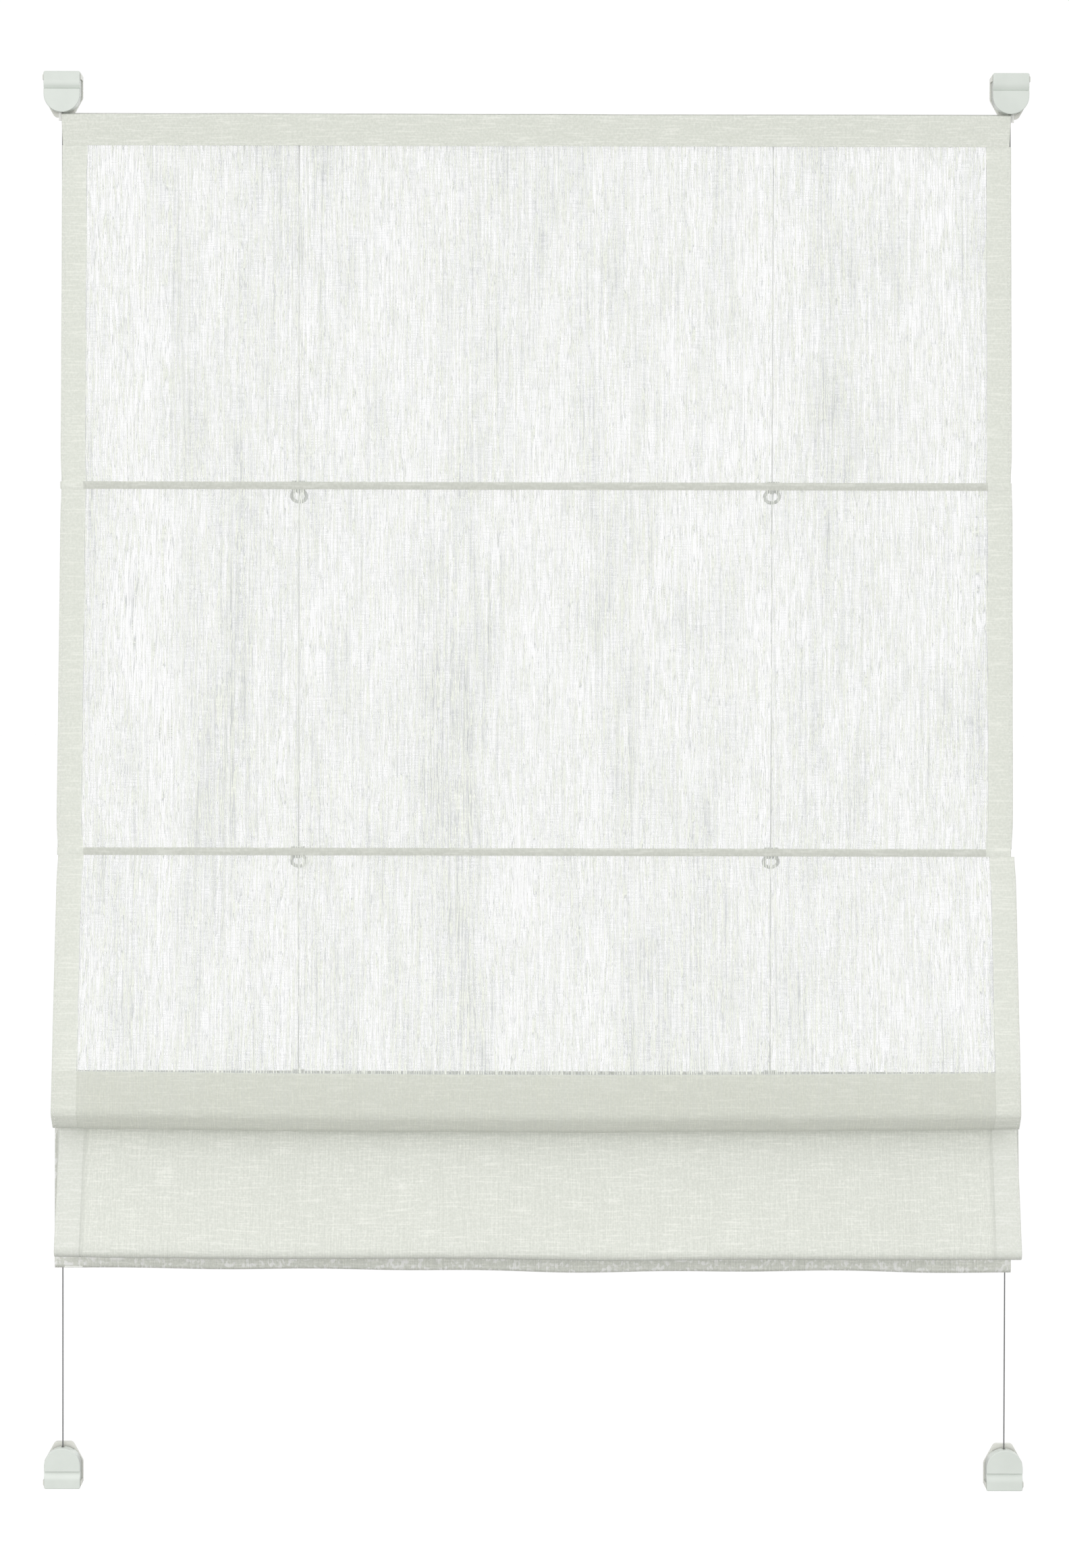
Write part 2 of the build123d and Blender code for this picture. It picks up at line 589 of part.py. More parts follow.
def bar_tips():
    """Caps on the bottom bar's ends, each with the eye that runs on its side wire."""
    group = []
    low = bottom_z + CLOTH_T + HEM_SEAT_GAP
    bar_half = wire_x - BAR_END_GAP
    depth = BAR_T / 2 + BAR_TIP_WALL
    middle = low + BAR_HEIGHT / 2
    for sign in (-1, 1):
        cap = block(bar_half - BAR_TIP_GRIP, wire_x - EYE_BORE_D / 2 - 0.9, WIRE_Y - depth, WIRE_Y + depth,
                    low, low + BAR_HEIGHT + 2)
        cap -= block(bar_half - BAR_TIP_GRIP - 1, bar_half, WIRE_Y - BAR_T / 2, WIRE_Y + BAR_T / 2,
                     low - 1, low + BAR_HEIGHT)
        eye = rod_z(wire_x, WIRE_Y, middle - EYE_HEIGHT, middle + EYE_HEIGHT, EYE_D)
        tip = cap + eye - rod_z(wire_x, WIRE_Y, middle - 2 * EYE_HEIGHT, middle + 2 * EYE_HEIGHT, EYE_BORE_D)
        group.append(tip if sign > 0 else mirror(tip, about=Plane.YZ))
    return Compound(group)


# ---------------------------------------------------------------- lift cords


def cord_span(upper, lower):
    """Left and right stretch of the lift cords between two (y, z) points."""
    (y0, z0), (y1, z1) = upper, lower
    length = math.hypot(y1 - y0, z1 - z0)
    lean = math.degrees(math.atan2(y1 - y0, z0 - z1))
    group = []
    for x in (-CORD_X, CORD_X):
        place = Pos(x, (y0 + y1) / 2, (z0 + z1) / 2) * Rot(lean, 0, 0)
        group.append(place * Cylinder(CORD_D / 2, length))
    return Compound(group)


def cord_stops():
    """Bead and knot under each lowest ring, on the last stretch of the lift cord."""
    ring_z = stay_z[3] - ring_drop
    bead_top = stay_z[3] - (RING_REACH + RING_D / 2) * math.cos(math.radians(RING_TILT)) - HEM_SEAT_GAP
    knot_z = bead_top - BEAD_HEIGHT - KNOT_D * 0.35
    group = []
    for x in (-CORD_X, CORD_X):
        bead = Pos(x, ring_y, bead_top - BEAD_HEIGHT / 2) * Cone(BEAD_D / 2, BEAD_D * 0.36, BEAD_HEIGHT)
        bead = fillet(bead.edges().filter_by(GeomType.CIRCLE), 0.8)
        knot = Pos(x, ring_y, knot_z) * Sphere(KNOT_D / 2)
        group.append(bead + knot + rod_z(x, ring_y, bead_top - 1, ring_z - 0.3, CORD_D))
    return Compound(group)


# ---------------------------------------------------------------- all nodes


def clamp_nodes():
    """Bracket, hook, shoe and cover of each of the four sash clamps, and the four screws as a group."""
    makers = {"bracket": clamp_bracket, "hook": clamp_hook, "shoe": clamp_shoe, "cover": clamp_cover}
    upper = {name: maker() for name, maker in makers.items()}
    lower = {name: turned_over(piece) for name, piece in upper.items()}
    nodes = {}
    for level, pieces in (("top", upper), ("bottom", lower)):
        for side, sign in SIDES.items():
            for name, piece in pieces.items():
                nodes[f"clamp_{level}_{side}_{name}"] = Pos(sign * wire_x, 0, 0) * piece
    screws = (clamp_screw(), turned_over(clamp_screw()))
    places = [Pos(sign * wire_x, 0, 0) for sign in SIDES.values()]
    nodes["clamp_screws"] = Compound([place * screw for place in places for screw in screws])
    return nodes


def wire_nodes():
    """Side wires, with their ferrules as one group and their tension springs as another."""
    ferrules = (ferrule(SHOE_TOP_Z), turned_over(ferrule(SHOE_TOP_Z + SPRING_LENGTH)))
    spring = turned_over(tension_spring())
    places = {side: Pos(sign * wire_x, 0, 0) for side, sign in SIDES.items()}
    nodes = {f"side_wire_{side}": place * side_wire() for side, place in places.items()}
    nodes["wire_ferrules"] = Compound([place * sleeve for place in places.values() for sleeve in ferrules])
    nodes["tension_springs"] = Compound([place * spring for place in places.values()])
    return nodes


def head_nodes():
    """Head rail with what is in it and the tapes in front of it."""
    levels = rail_cord_levels()
    return {
        "head_rail": head_rail(),
        "rail_cap_left": rail_cap("left"),
        "rail_cap_right": rail_cap("right"),
        "loop_tape": tape(head_back_y, head_back_y + TAPE_T),
        "hook_tape": tape(head_back_y + TAPE_T, rail_front_y),
        "cord_guides": cord_guides(),
        "cord_cleat": cord_cleat(),
        "rail_cords": Compound([rail_cord(-CORD_X, levels["left"]), rail_cord(CORD_X, levels["right"])]),
    }


def cloth_nodes():
    """The one cloth, parted only at the stays that move."""
    nodes = {"cloth_head": cloth_head()}
    tops = [CLOTH_TOP_Z - HEAD_BAND - SHEET_GAP, stay_z[0] - band_reach - SHEET_GAP]
    for number, top_z in enumerate(tops, start=1):
        nodes[f"cloth_panel_{number}"] = flat_panel(top_z, stay_z[number - 1] + band_reach + SHEET_GAP)
    for number in FOLD_FORWARD:
        nodes[f"cloth_panel_{number}"] = folded_panel(number)
    nodes["cloth_flap"] = cloth_flap()
    return nodes


def stay_nodes():
    """Rod, pocket, ring clips and end tips of each stay, and the lift cords' spans between them."""
    nodes = {}
    above = (rail_mid_y, rail_bottom_z - 0.3)
    for number, z in enumerate(stay_z, start=1):
        nodes[f"stay_{number}_rod"] = stay_rod(z)
        nodes[f"stay_{number}_pocket"] = stay_pocket(z)
        nodes[f"stay_{number}_ring_clips"] = ring_clips(z)
        nodes[f"stay_{number}_tips"] = stay_tips(z)
        ring_centre = (ring_y, z - ring_drop)
        nodes[f"lift_cords_{number}"] = cord_span(above, ring_centre)
        above = ring_centre
    return nodes


def bottom_nodes():
    """Bottom bar with its tips, and the lift cords' stops."""
    return {"bottom_bar": bottom_bar(), "bottom_bar_tips": bar_tips(), "cord_stops": cord_stops()}


def main():
    """Writes one STEP file for each node."""
    os.makedirs("parts", exist_ok=True)
    nodes = {}
    for group in (clamp_nodes, wire_nodes, head_nodes, cloth_nodes, stay_nodes, bottom_nodes):
        nodes.update(group())
    for name, piece in nodes.items():
        export_step(piece, f"parts/{name}.step")
    print(f"{len(nodes)} nodes; stays at z {[round(z, 1) for z in stay_z]}, bottom at {bottom_z:.1f}")


main()
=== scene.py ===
"""Visual model of a clamp-on roman blind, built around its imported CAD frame.

The blind is drawn up so that its two lowest cloth panels hang in folds. Lengths are in metres. +Z is up along
the window sash, +Y points from the room through the sash, and +X is to the right as seen from the room.
"""

from __future__ import annotations

import json
import logging
import math
from dataclasses import dataclass, field
from enum import Enum
from typing import Callable, Optional, Sequence, Union

import bmesh
import bpy
from mathutils import Matrix, Vector, noise

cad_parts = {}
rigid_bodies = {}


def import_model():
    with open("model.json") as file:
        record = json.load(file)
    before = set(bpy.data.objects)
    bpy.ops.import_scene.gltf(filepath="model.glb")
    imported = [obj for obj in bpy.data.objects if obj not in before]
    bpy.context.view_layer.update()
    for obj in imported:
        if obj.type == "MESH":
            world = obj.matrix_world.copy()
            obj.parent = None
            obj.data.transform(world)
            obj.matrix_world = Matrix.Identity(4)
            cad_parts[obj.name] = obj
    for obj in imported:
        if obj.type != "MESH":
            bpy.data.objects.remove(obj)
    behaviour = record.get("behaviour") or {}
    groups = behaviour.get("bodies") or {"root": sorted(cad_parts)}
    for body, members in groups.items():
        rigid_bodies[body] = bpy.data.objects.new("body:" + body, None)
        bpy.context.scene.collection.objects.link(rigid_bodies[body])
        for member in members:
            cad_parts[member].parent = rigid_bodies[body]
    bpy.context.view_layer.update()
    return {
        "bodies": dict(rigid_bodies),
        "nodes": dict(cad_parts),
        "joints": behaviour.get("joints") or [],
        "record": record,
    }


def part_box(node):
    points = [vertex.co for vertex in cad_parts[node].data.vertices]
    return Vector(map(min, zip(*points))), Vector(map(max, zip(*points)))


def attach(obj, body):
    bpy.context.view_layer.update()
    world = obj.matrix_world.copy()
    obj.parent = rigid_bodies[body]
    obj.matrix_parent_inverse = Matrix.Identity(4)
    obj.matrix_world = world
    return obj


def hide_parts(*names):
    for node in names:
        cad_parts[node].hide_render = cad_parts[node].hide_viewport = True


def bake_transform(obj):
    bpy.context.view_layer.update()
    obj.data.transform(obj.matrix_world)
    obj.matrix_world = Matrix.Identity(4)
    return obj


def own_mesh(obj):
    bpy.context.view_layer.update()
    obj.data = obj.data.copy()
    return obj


LOG = logging.getLogger("roman_blind")
CLOTH_MAP = "cloth"
CLOTH_HALF = 0.402
CLOTH_THICKNESS = 0.00045
BAND_HEIGHT = 0.0064
STAY_PITCH = 0.309

Colour = tuple[float, float, float]


# ---------------------------------------------------------------- shader maths


def operator(operation: str, swapped: bool = False) -> Callable[[Value, Operand], Value]:
    """An arithmetic operator that adds a Math node.

    Args:
        operation: The node's operation.
        swapped: Whether the value stands on the right.

    Returns:
        The method.
    """

    def method(self: Value, other: Operand) -> Value:
        """Adds the node and wraps its output."""
        first, second = (other, self) if swapped else (self, other)
        return self.graph.value("ShaderNodeMath", {"operation": operation}, {0: first, 1: second})

    return method


class Value:
    """A shader value that takes part in Python arithmetic by adding Math nodes."""

    __add__, __radd__ = operator("ADD"), operator("ADD", True)
    __sub__, __rsub__ = operator("SUBTRACT"), operator("SUBTRACT", True)
    __mul__, __rmul__ = operator("MULTIPLY"), operator("MULTIPLY", True)
    __pow__ = operator("POWER")

    def __init__(self, graph: Graph, socket: bpy.types.NodeSocket) -> None:
        """Wraps a socket.

        Args:
            graph: The graph that the socket belongs to.
            socket: An output socket that carries a number.
        """
        self.graph = graph
        self.socket = socket

    def magnitude(self) -> Value:
        """Absolute value."""
        return self.graph.value("ShaderNodeMath", {"operation": "ABSOLUTE"}, {0: self})

    def between(self, low: float, high: float, start: float = 0.0, end: float = 1.0) -> Value:
        """Maps low..high smoothly to start..end and holds the ends.

        Args:
            low: Where the step starts.
            high: Where the step ends.
            start: The result at low.
            end: The result at high.

        Returns:
            The mapped value.
        """
        return self.graph.value(
            "ShaderNodeMapRange",
            {"interpolation_type": "SMOOTHSTEP"},
            {"Value": self, "From Min": low, "From Max": high, "To Min": start, "To Max": end},
        )


Operand = Union[Value, bpy.types.NodeSocket, float, Sequence[float]]


class Graph:
    """A node tree and the one way in which nodes are added to it."""

    def __init__(self, owner: Union[bpy.types.Material, bpy.types.World]) -> None:
        """Empties the node tree.

        Args:
            owner: The material or world that the tree belongs to.
        """
        owner.use_nodes = True
        self.owner = owner
        self.tree = owner.node_tree
        self.tree.nodes.clear()

    def node(self, kind: str, settings: Optional[dict] = None,
             sockets: Optional[dict] = None) -> bpy.types.Node:
        """Adds a node, sets its settings first, then fills its sockets.

        Args:
            kind: The node's type.
            settings: Its properties.
            sockets: Values or links, by the socket's name, identifier or place. Plain colours have three parts.

        Returns:
            The node.
        """
        made = self.tree.nodes.new(kind)
        for key, setting in (settings or {}).items():
            setattr(made, key, setting)
        for key, content in (sockets or {}).items():
            socket = self._input(made, key)
            if isinstance(content, Value):
                content = content.socket
            if isinstance(content, bpy.types.NodeSocket):
                self.tree.links.new(content, socket)
            else:
                socket.default_value = (*content, 1.0) if socket.type == "RGBA" else content
        return made

    @staticmethod
    def _input(made: bpy.types.Node, key: Union[str, int]) -> bpy.types.NodeSocket:
        """Finds an input by place, identifier or name."""
        if isinstance(key, int):
            return made.inputs[key]
        for socket in made.inputs:
            if socket.identifier == key:
                return socket
        return made.inputs[key]

    def value(self, kind: str, settings: Optional[dict] = None, sockets: Optional[dict] = None,
              output: Union[str, int] = 0) -> Value:
        """Adds a node and wraps one of its outputs.

        Args:
            kind: The node's type.
            settings: Its properties.
            sockets: Values or links of its inputs.
            output: The output that is wrapped.

        Returns:
            The wrapped output.
        """
        return Value(self, self.node(kind, settings, sockets).outputs[output])

    def blend(self, share: Operand, first: Operand, second: Operand) -> bpy.types.NodeSocket:
        """Mixes two colours.

        Args:
            share: 0 for the first colour, 1 for the second.
            first: A colour.
            second: A colour.

        Returns:
            The mixed colour's socket.
        """
        made = self.node("ShaderNodeMix", {"data_type": "RGBA"},
                         {"Factor_Float": share, "A_Color": first, "B_Color": second})
        return next(s for s in made.outputs if s.identifier == "Result_Color")

    def place(self, scale: Sequence[float] = (1.0, 1.0, 1.0), on_cloth: bool = False) -> bpy.types.NodeSocket:
        """Coordinates of the surface, stretched by scale.

        Args:
            scale: How much each direction is stretched.
            on_cloth: Reads the cloth's own map, in metres along the cloth, instead of the object's coordinates.

        Returns:
            A vector socket.
        """
        if on_cloth:
            source = self.node("ShaderNodeUVMap", {"uv_map": CLOTH_MAP}).outputs["UV"]
        else:
            source = self.node("ShaderNodeTexCoord").outputs["Object"]
        return self.node("ShaderNodeMapping", {"vector_type": "POINT"},
                         {"Vector": source, "Scale": tuple(scale)}).outputs["Vector"]

    def speck(self, place: bpy.types.NodeSocket, scale: float, detail: float = 2.0,
              rough: float = 0.5) -> Value:
        """Soft noise from 0 to 1.

        Args:
            place: Coordinates.
            scale: Grains per metre.
            detail: How many finer layers it has.
            rough: How strong the finer layers are.

        Returns:
            The noise.
        """
        return self.value("ShaderNodeTexNoise", {"noise_dimensions": "3D"},
                          {"Vector": place, "Scale": scale, "Detail": detail, "Roughness": rough})

    def yarn(self, across: float, down: float, detail: float = 1.0, rough: float = 0.5,
             slide: Optional[tuple[float, float]] = None) -> Value:
        """Soft noise on the cloth's own map, stretched along its yarns.

        Args:
            across: Grains per metre across the cloth.
            down: Grains per metre down the cloth.
            detail: How many finer layers it has.
            rough: How strong the finer layers are.
            slide: How fast its columns slide past each other from one to the next, and how far.

        Returns:
            The noise, from 0 to 1.
        """
        place = self.place((across, down, 1.0), on_cloth=True)
        return self.speck(place if slide is None else self.slid(place, *slide), 1.0, detail, rough)

    def slid(self, place: bpy.types.NodeSocket, across: float, reach: float) -> bpy.types.NodeSocket:
        """Coordinates whose upright columns have slid past each other, so that no row lines up.

        Args:
            place: Coordinates.
            across: How fast the slide changes from column to column.
            reach: How far a column slides.

        Returns:
            A vector socket.
        """
        column = self.axis(place, "X") * across
        start = self.node("ShaderNodeCombineXYZ", None, {"X": column}).outputs["Vector"]
        slide = self.speck(start, 1.0, 1.0) * reach
        step = self.node("ShaderNodeCombineXYZ", None, {"Y": slide, "Z": slide * 0.37}).outputs["Vector"]
        return self.node("ShaderNodeVectorMath", {"operation": "ADD"}, {0: place, 1: step}).outputs["Vector"]

    def axis(self, place: bpy.types.NodeSocket, which: str) -> Value:
        """One coordinate of a vector."""
        return self.value("ShaderNodeSeparateXYZ", None, {"Vector": place}, which)

    def raised(self, height: Operand, strength: float, distance: float) -> bpy.types.NodeSocket:
        """A Bump node's normal.

        Args:
            height: What is raised.
            strength: How much of it shows.
            distance: How high it is, in metres.

        Returns:
            The normal's socket.
        """
        return self.node("ShaderNodeBump", None,
                         {"Strength": strength, "Distance": distance, "Height": height}).outputs["Normal"]

    def layered(self, share: Operand, under: bpy.types.Node, over: bpy.types.Node) -> bpy.types.Node:
        """Mixes two shaders.

        Args:
            share: 0 for the first shader, 1 for the second.
            under: The first shader.
            over: The second shader.

        Returns:
            The Mix Shader node.
        """
        return self.node("ShaderNodeMixShader", None, {0: share, 1: under.outputs[0], 2: over.outputs[0]})

    def finish(self, shader: bpy.types.Node) -> bpy.types.Material:
        """Links a shader to the surface and returns the material."""
        self.node("ShaderNodeOutputMaterial", None, {"Surface": shader.outputs[0]})
        return self.owner

    def surface(self, sockets: dict) -> bpy.types.Material:
        """Finishes the material with one Principled shader.

        Args:
            sockets: The shader's values and links.

        Returns:
            The material.
        """
        return self.finish(self.node("ShaderNodeBsdfPrincipled", None, sockets))


def deeper(colour: Colour, share: float) -> Colour:
    """A colour times a share of its lightness."""
    return tuple(share * part for part in colour)


# ---------------------------------------------------------------- finishes


class Finish:
    """A surface finish that makes its material once."""

    name: str

    def dress(self, graph: Graph) -> bpy.types.Material:
        """Builds the material's nodes."""
        raise NotImplementedError

    def material(self) -> bpy.types.Material:
        """The finish's material, made at its first use."""
        title = f"{self.name}_finish"
        return bpy.data.materials.get(title) or self.dress(Graph(bpy.data.materials.new(title)))


@dataclass(frozen=True)
class MouldedPlastic(Finish):
    """Injection-moulded plastic with a faint mould texture, uneven gloss and, where set, painted shade on its
    sides.
    """

    name: str
    colour: Colour
    shade: Colour
    roughness: float = 0.38
    coat: float = 0.0
    grain: float = 900.0
    side_shade: float = 0.0
    side_shade_colour: Colour = (0.5, 0.5, 0.45)

    def dress(self, graph: Graph) -> bpy.types.Material:
        """Builds the material's nodes."""
        place = graph.place()
        flow = graph.speck(place, 60.0, 3.0)
        grain = graph.speck(place, self.grain, 2.0, 0.6)
        colour = graph.blend(flow.between(0.3, 0.7), self.shade, self.colour)
        # Painted shade: faces that turn sideways along the object's X are blended towards a darker colour, as
        # if in shadow.
        if self.side_shade > 0.0:
            facing = graph.node("ShaderNodeNewGeometry").outputs["Normal"]
            turned = graph.node("ShaderNodeVectorTransform",
                                {"vector_type": "NORMAL", "convert_from": "WORLD", "convert_to": "OBJECT"},
                                {"Vector": facing}).outputs["Vector"]
            shaded_sides = graph.axis(turned, "X").magnitude().between(0.75, 0.97)
            colour = graph.blend(shaded_sides * self.side_shade, colour, self.side_shade_colour)
        return graph.surface({
            "Base Color": colour,
            "Roughness": flow * 0.14 + (self.roughness - 0.07),
            "Coat Weight": self.coat,
            "Coat Roughness": 0.18,
            "IOR": 1.46,
            "Normal": graph.raised(grain, 0.12, 0.00004),
        })


@dataclass(frozen=True)
class DrawnMetal(Finish):
    """Drawn, rolled or plated metal with fine lines along its length."""

    name: str
    colour: Colour
    roughness: float
    lines: tuple[float, float, float] = (4000.0, 4000.0, 120.0)

    def dress(self, graph: Graph) -> bpy.types.Material:
        """Builds the material's nodes."""
        lines = graph.speck(graph.place(self.lines), 1.0, 2.0, 0.6)
        dull = graph.speck(graph.place(), 90.0, 3.0)
        darker = deeper(self.colour, 0.72)
        return graph.surface({
            "Base Color": graph.blend(lines.between(0.3, 0.7), darker, self.colour),
            "Metallic": 1.0,
            "Roughness": dull * 0.2 + (self.roughness - 0.1),
            "Normal": graph.raised(lines, 0.25, 0.00003),
        })


@dataclass(frozen=True)
class CoatedMetal(Finish):
    """White powder coat over metal, with a fine orange-peel skin."""

    name: str
    colour: Colour
    roughness: float = 0.42

    def dress(self, graph: Graph) -> bpy.types.Material:
        """Builds the material's nodes."""
        place = graph.place()
        peel = graph.speck(place, 700.0, 2.0, 0.5)
        film = graph.speck(place, 25.0, 3.0)
        duller = deeper(self.colour, 0.93)
        return graph.surface({
            "Base Color": graph.blend(film.between(0.3, 0.75), duller, self.colour),
            "Roughness": film * 0.16 + (self.roughness - 0.08),
            "Coat Weight": 0.25,
            "Coat Roughness": 0.3,
            "Normal": graph.raised(peel, 0.15, 0.00005),
        })


@dataclass(frozen=True)
class TapeNap(Finish):
    """Hook and loop tape: a short dense nap with a woven selvedge."""

    name: str
    colour: Colour

    def dress(self, graph: Graph) -> bpy.types.Material:
        """Builds the material's nodes."""
        nap = graph.speck(graph.place(), 1500.0, 3.0, 0.7)
        darker = deeper(self.colour, 0.7)
        return graph.surface({
            "Base Color": graph.blend(nap.between(0.3, 0.6), darker, self.colour),
            "Roughness": 0.95,
            "Sheen Weight": 0.4,
            "Normal": graph.raised(nap, 0.8, 0.0003),
        })


@dataclass(frozen=True)
class BraidedCord(Finish):
    """Thin braided cord: strands that cross in a fine herringbone."""

    name: str
    colour: Colour
    pitch: float = 0.0011

    def dress(self, graph: Graph) -> bpy.types.Material:
        """Builds the material's nodes."""
        place = graph.place()
        along = graph.axis(place, "Z") * (2 * math.pi / self.pitch)
        across = graph.axis(place, "X") * (2 * math.pi / (0.8 * self.pitch))
        one = graph.value("ShaderNodeMath", {"operation": "SINE"}, {0: along + across})
        other = graph.value("ShaderNodeMath", {"operation": "SINE"}, {0: along - across})
        weave = (one * other) * 0.5 + 0.5
        darker = deeper(self.colour, 0.62)
        return graph.surface({
            "Base Color": graph.blend(weave.between(0.15, 0.6), darker, self.colour),
            "Roughness": 0.8,
            "Sheen Weight": 0.25,
            "Normal": graph.raised(weave, 0.6, 0.0001),
        })


@dataclass(frozen=True)
class SlubCloth(Finish):
    """Sheer slub weave: uneven upright yarns over a fine ground, close along its hems.

    The pattern follows the cloth's own map, whose first direction is metres across from the middle and whose
    second is metres down from the top edge.
    """

    name: str
    thread: Colour = (0.95, 0.962, 0.90)
    shade: Colour = (0.79, 0.812, 0.745)
    sheer_thread: Colour = (0.72, 0.735, 0.745)
    sheer_shade: Colour = (0.48, 0.497, 0.508)
    cover: float = 0.62
    contrast: float = 1.0
    # From stacked_from down the cloth, the colour carries painted shade, as if the layers hanging behind shaded
    # it.
    stacked_from: float = 9.0
    stacked_painted_shade: Colour = (0.84, 0.84, 0.815)
    hem_from: float = 0.3812
    hem_cover: float = 0.99
    hem_runs_on: bool = False
    hem_thread: Colour = (0.90, 0.912, 0.852)
    hem_shade: Colour = (0.75, 0.771, 0.705)
    # Strength of the painted shadow that darkens the cloth just inside each side hem.
    hem_edge_shadow: float = 0.0
    lit_through: Colour = (0.84, 0.852, 0.82)
    glow: float = 0.22
    # Strength of white specks painted as light shining through gaps in the weave.
    painted_light_specks: float = 0.0

    @staticmethod
    def slub(graph: Graph) -> Value:
        """How much thicker than usual the yarns are, in streaks, lanes, clouds and thick weft threads."""
        streak = graph.yarn(1080.0, 62.0, 0.5, 0.4, slide=(0.31, 16.0)).between(0.47, 0.65)
        broad = graph.yarn(520.0, 9.0, slide=(0.13, 6.0))
        lanes = graph.yarn(15.0, 2.0, 2.0, slide=(0.4, 3.0))
        cloud = graph.yarn(34.0, 13.0, 2.0)
        weft = graph.yarn(70.0, 950.0)
        slub = (streak - 0.36) * 0.88 + (broad - 0.5) + (cloud - 0.5) * 0.6 + (weft - 0.5) * 0.5
        return slub + (lanes - 0.5) * 0.75

    def close_colour(self, graph: Graph, weave: Value, hem: Value, stacked: Value) -> bpy.types.NodeSocket:
        """Colour of the cloth where it is too close to see through.

        Args:
            graph: The material's graph.
            weave: The fine weave, from 0 to 1.
            hem: 1 in the side hems.
            stacked: 1 where more layers lie behind, where painted shade darkens the colour.

        Returns:
            The colour's socket.
        """
        mottle = graph.yarn(520.0, 460.0, 2.0, 0.55)
        threads = graph.yarn(40.0, 700.0).between(0.52, 0.70)
        upright = graph.yarn(620.0, 45.0).between(0.50, 0.72)
        tone = (weave * 0.5 + mottle * 0.5).between(0.34, 0.66) * 0.72 + threads * 0.46 + upright * 0.08
        light = tone.between(0.0, 1.1)
        close = graph.blend(light, self.shade, self.thread)
        # Painted shade: where more layers lie behind, the colour is darkened as if they shaded it, less so in
        # the side hems.
        darkest, darker = (tuple(part * tone for part, tone in zip(colour, self.stacked_painted_shade))
                           for colour in (self.shade, self.thread))
        close = graph.blend(stacked * (1.0 - hem * 0.7), close, graph.blend(light, darkest, darker))
        if self.hem_runs_on:
            close = graph.blend(hem, close, graph.blend(light, self.hem_shade, self.hem_thread))
        return close

    def dress(self, graph: Graph) -> bpy.types.Material:
        """Builds the material's nodes."""
        place = graph.place(on_cloth=True)
        from_middle = graph.axis(place, "X").magnitude()
        hem = from_middle.between(self.hem_from - 0.0003, self.hem_from + 0.0003)
        hem_shadow_ramp = from_middle.between(self.hem_from - 0.0055, self.hem_from)
        stacked = graph.axis(place, "Y").between(self.stacked_from - 0.0004, self.stacked_from + 0.0004)

        slub = self.slub(graph)
        single = (slub * self.contrast + self.cover).between(0.0, 1.0, 0.16, 1.0)
        open_cover = single + stacked * (slub * 0.025 + 0.965 - single)
        coverage = open_cover + hem * (self.hem_cover - open_cover)
        one_side = 1.0 - (1.0 - coverage) ** 0.5

        weave = graph.yarn(1500.0, 420.0, 2.0, 0.6) * 0.5 + graph.yarn(230.0, 1500.0, 2.0, 0.6) * 0.5
        sheer = graph.blend(single.between(0.25, 0.95), self.sheer_thread, self.sheer_shade)
        close = self.close_colour(graph, weave, hem, stacked)
        colour = graph.blend(coverage.between(0.86, 0.985), sheer, close)
        # Painted shadow: a band just inside each side hem is darkened, deepest at the hem's edge.
        colour = graph.blend((hem_shadow_ramp - hem) * self.hem_edge_shadow, colour, deeper(self.shade, 0.8))
        # Painted light: white specks where light would shine through gaps in the crumpled weave.
        if self.painted_light_specks > 0.0:
            glint = graph.yarn(340.0, 190.0).between(0.49, 0.56) * graph.yarn(90.0, 160.0).between(0.42, 0.55)
            colour = graph.blend(glint * self.painted_light_specks, colour, (1.0, 1.0, 0.98))
        front = graph.node("ShaderNodeBsdfPrincipled", None, {
            "Base Color": colour, "Roughness": 0.88, "Sheen Weight": 0.12, "Sheen Roughness": 0.5,
            "Specular IOR Level": 0.2, "Normal": graph.raised(weave + slub * 0.25, 0.5, 0.00022),
        })
        through = graph.node("ShaderNodeBsdfTranslucent", None, {"Color": self.lit_through})
        holes = graph.node("ShaderNodeBsdfTransparent")
        return graph.finish(graph.layered(one_side, holes, graph.layered(self.glow, front, through)))


class Cloths(Enum):
    """Where the cloth is single and sheer, and where it is doubled."""

    SHEER = SlubCloth("sheer_slub_cloth")
    # The fold's front gets painted shade from stacked_from down, over the layers that hang behind it.
    FOLD_FRONT = SlubCloth("fold_front_cloth", thread=(0.92, 0.932, 0.872), shade=(0.77, 0.79, 0.725),
                           stacked_from=0.8064)
    DOUBLED = SlubCloth("doubled_slub_cloth", thread=(0.90, 0.912, 0.848), shade=(0.73, 0.752, 0.682),
                        cover=1.6, contrast=0.25, hem_cover=1.0)
    # The stay band's colours are painted shade: darker than the other doubled cloth, as if shaded over its
    # sleeve and rod.
    SHADED_STAY_BAND = SlubCloth("stay_band_shaded_cloth", thread=(0.755, 0.765, 0.712), shade=(0.61, 0.624, 0.568),
                          cover=1.6, contrast=0.25, hem_cover=1.0, hem_runs_on=True)
    # The lower fold's cloth has painted shadow just inside its side hems.
    FOLDED = SlubCloth("folded_slub_cloth", thread=(0.94, 0.95, 0.892), shade=(0.765, 0.785, 0.722),
                       cover=0.97, contrast=0.06, hem_edge_shadow=0.5, hem_runs_on=True,
                       hem_thread=(0.938, 0.948, 0.900), hem_shade=(0.797, 0.817, 0.754))
    # The bottom hem's cloth gets painted light specks, white where light would shine through.
    LOWER_HEM = SlubCloth("lower_hem_cloth", thread=(0.93, 0.94, 0.88), shade=(0.74, 0.755, 0.69),
                          cover=1.0, contrast=0.15, painted_light_specks=1.0)


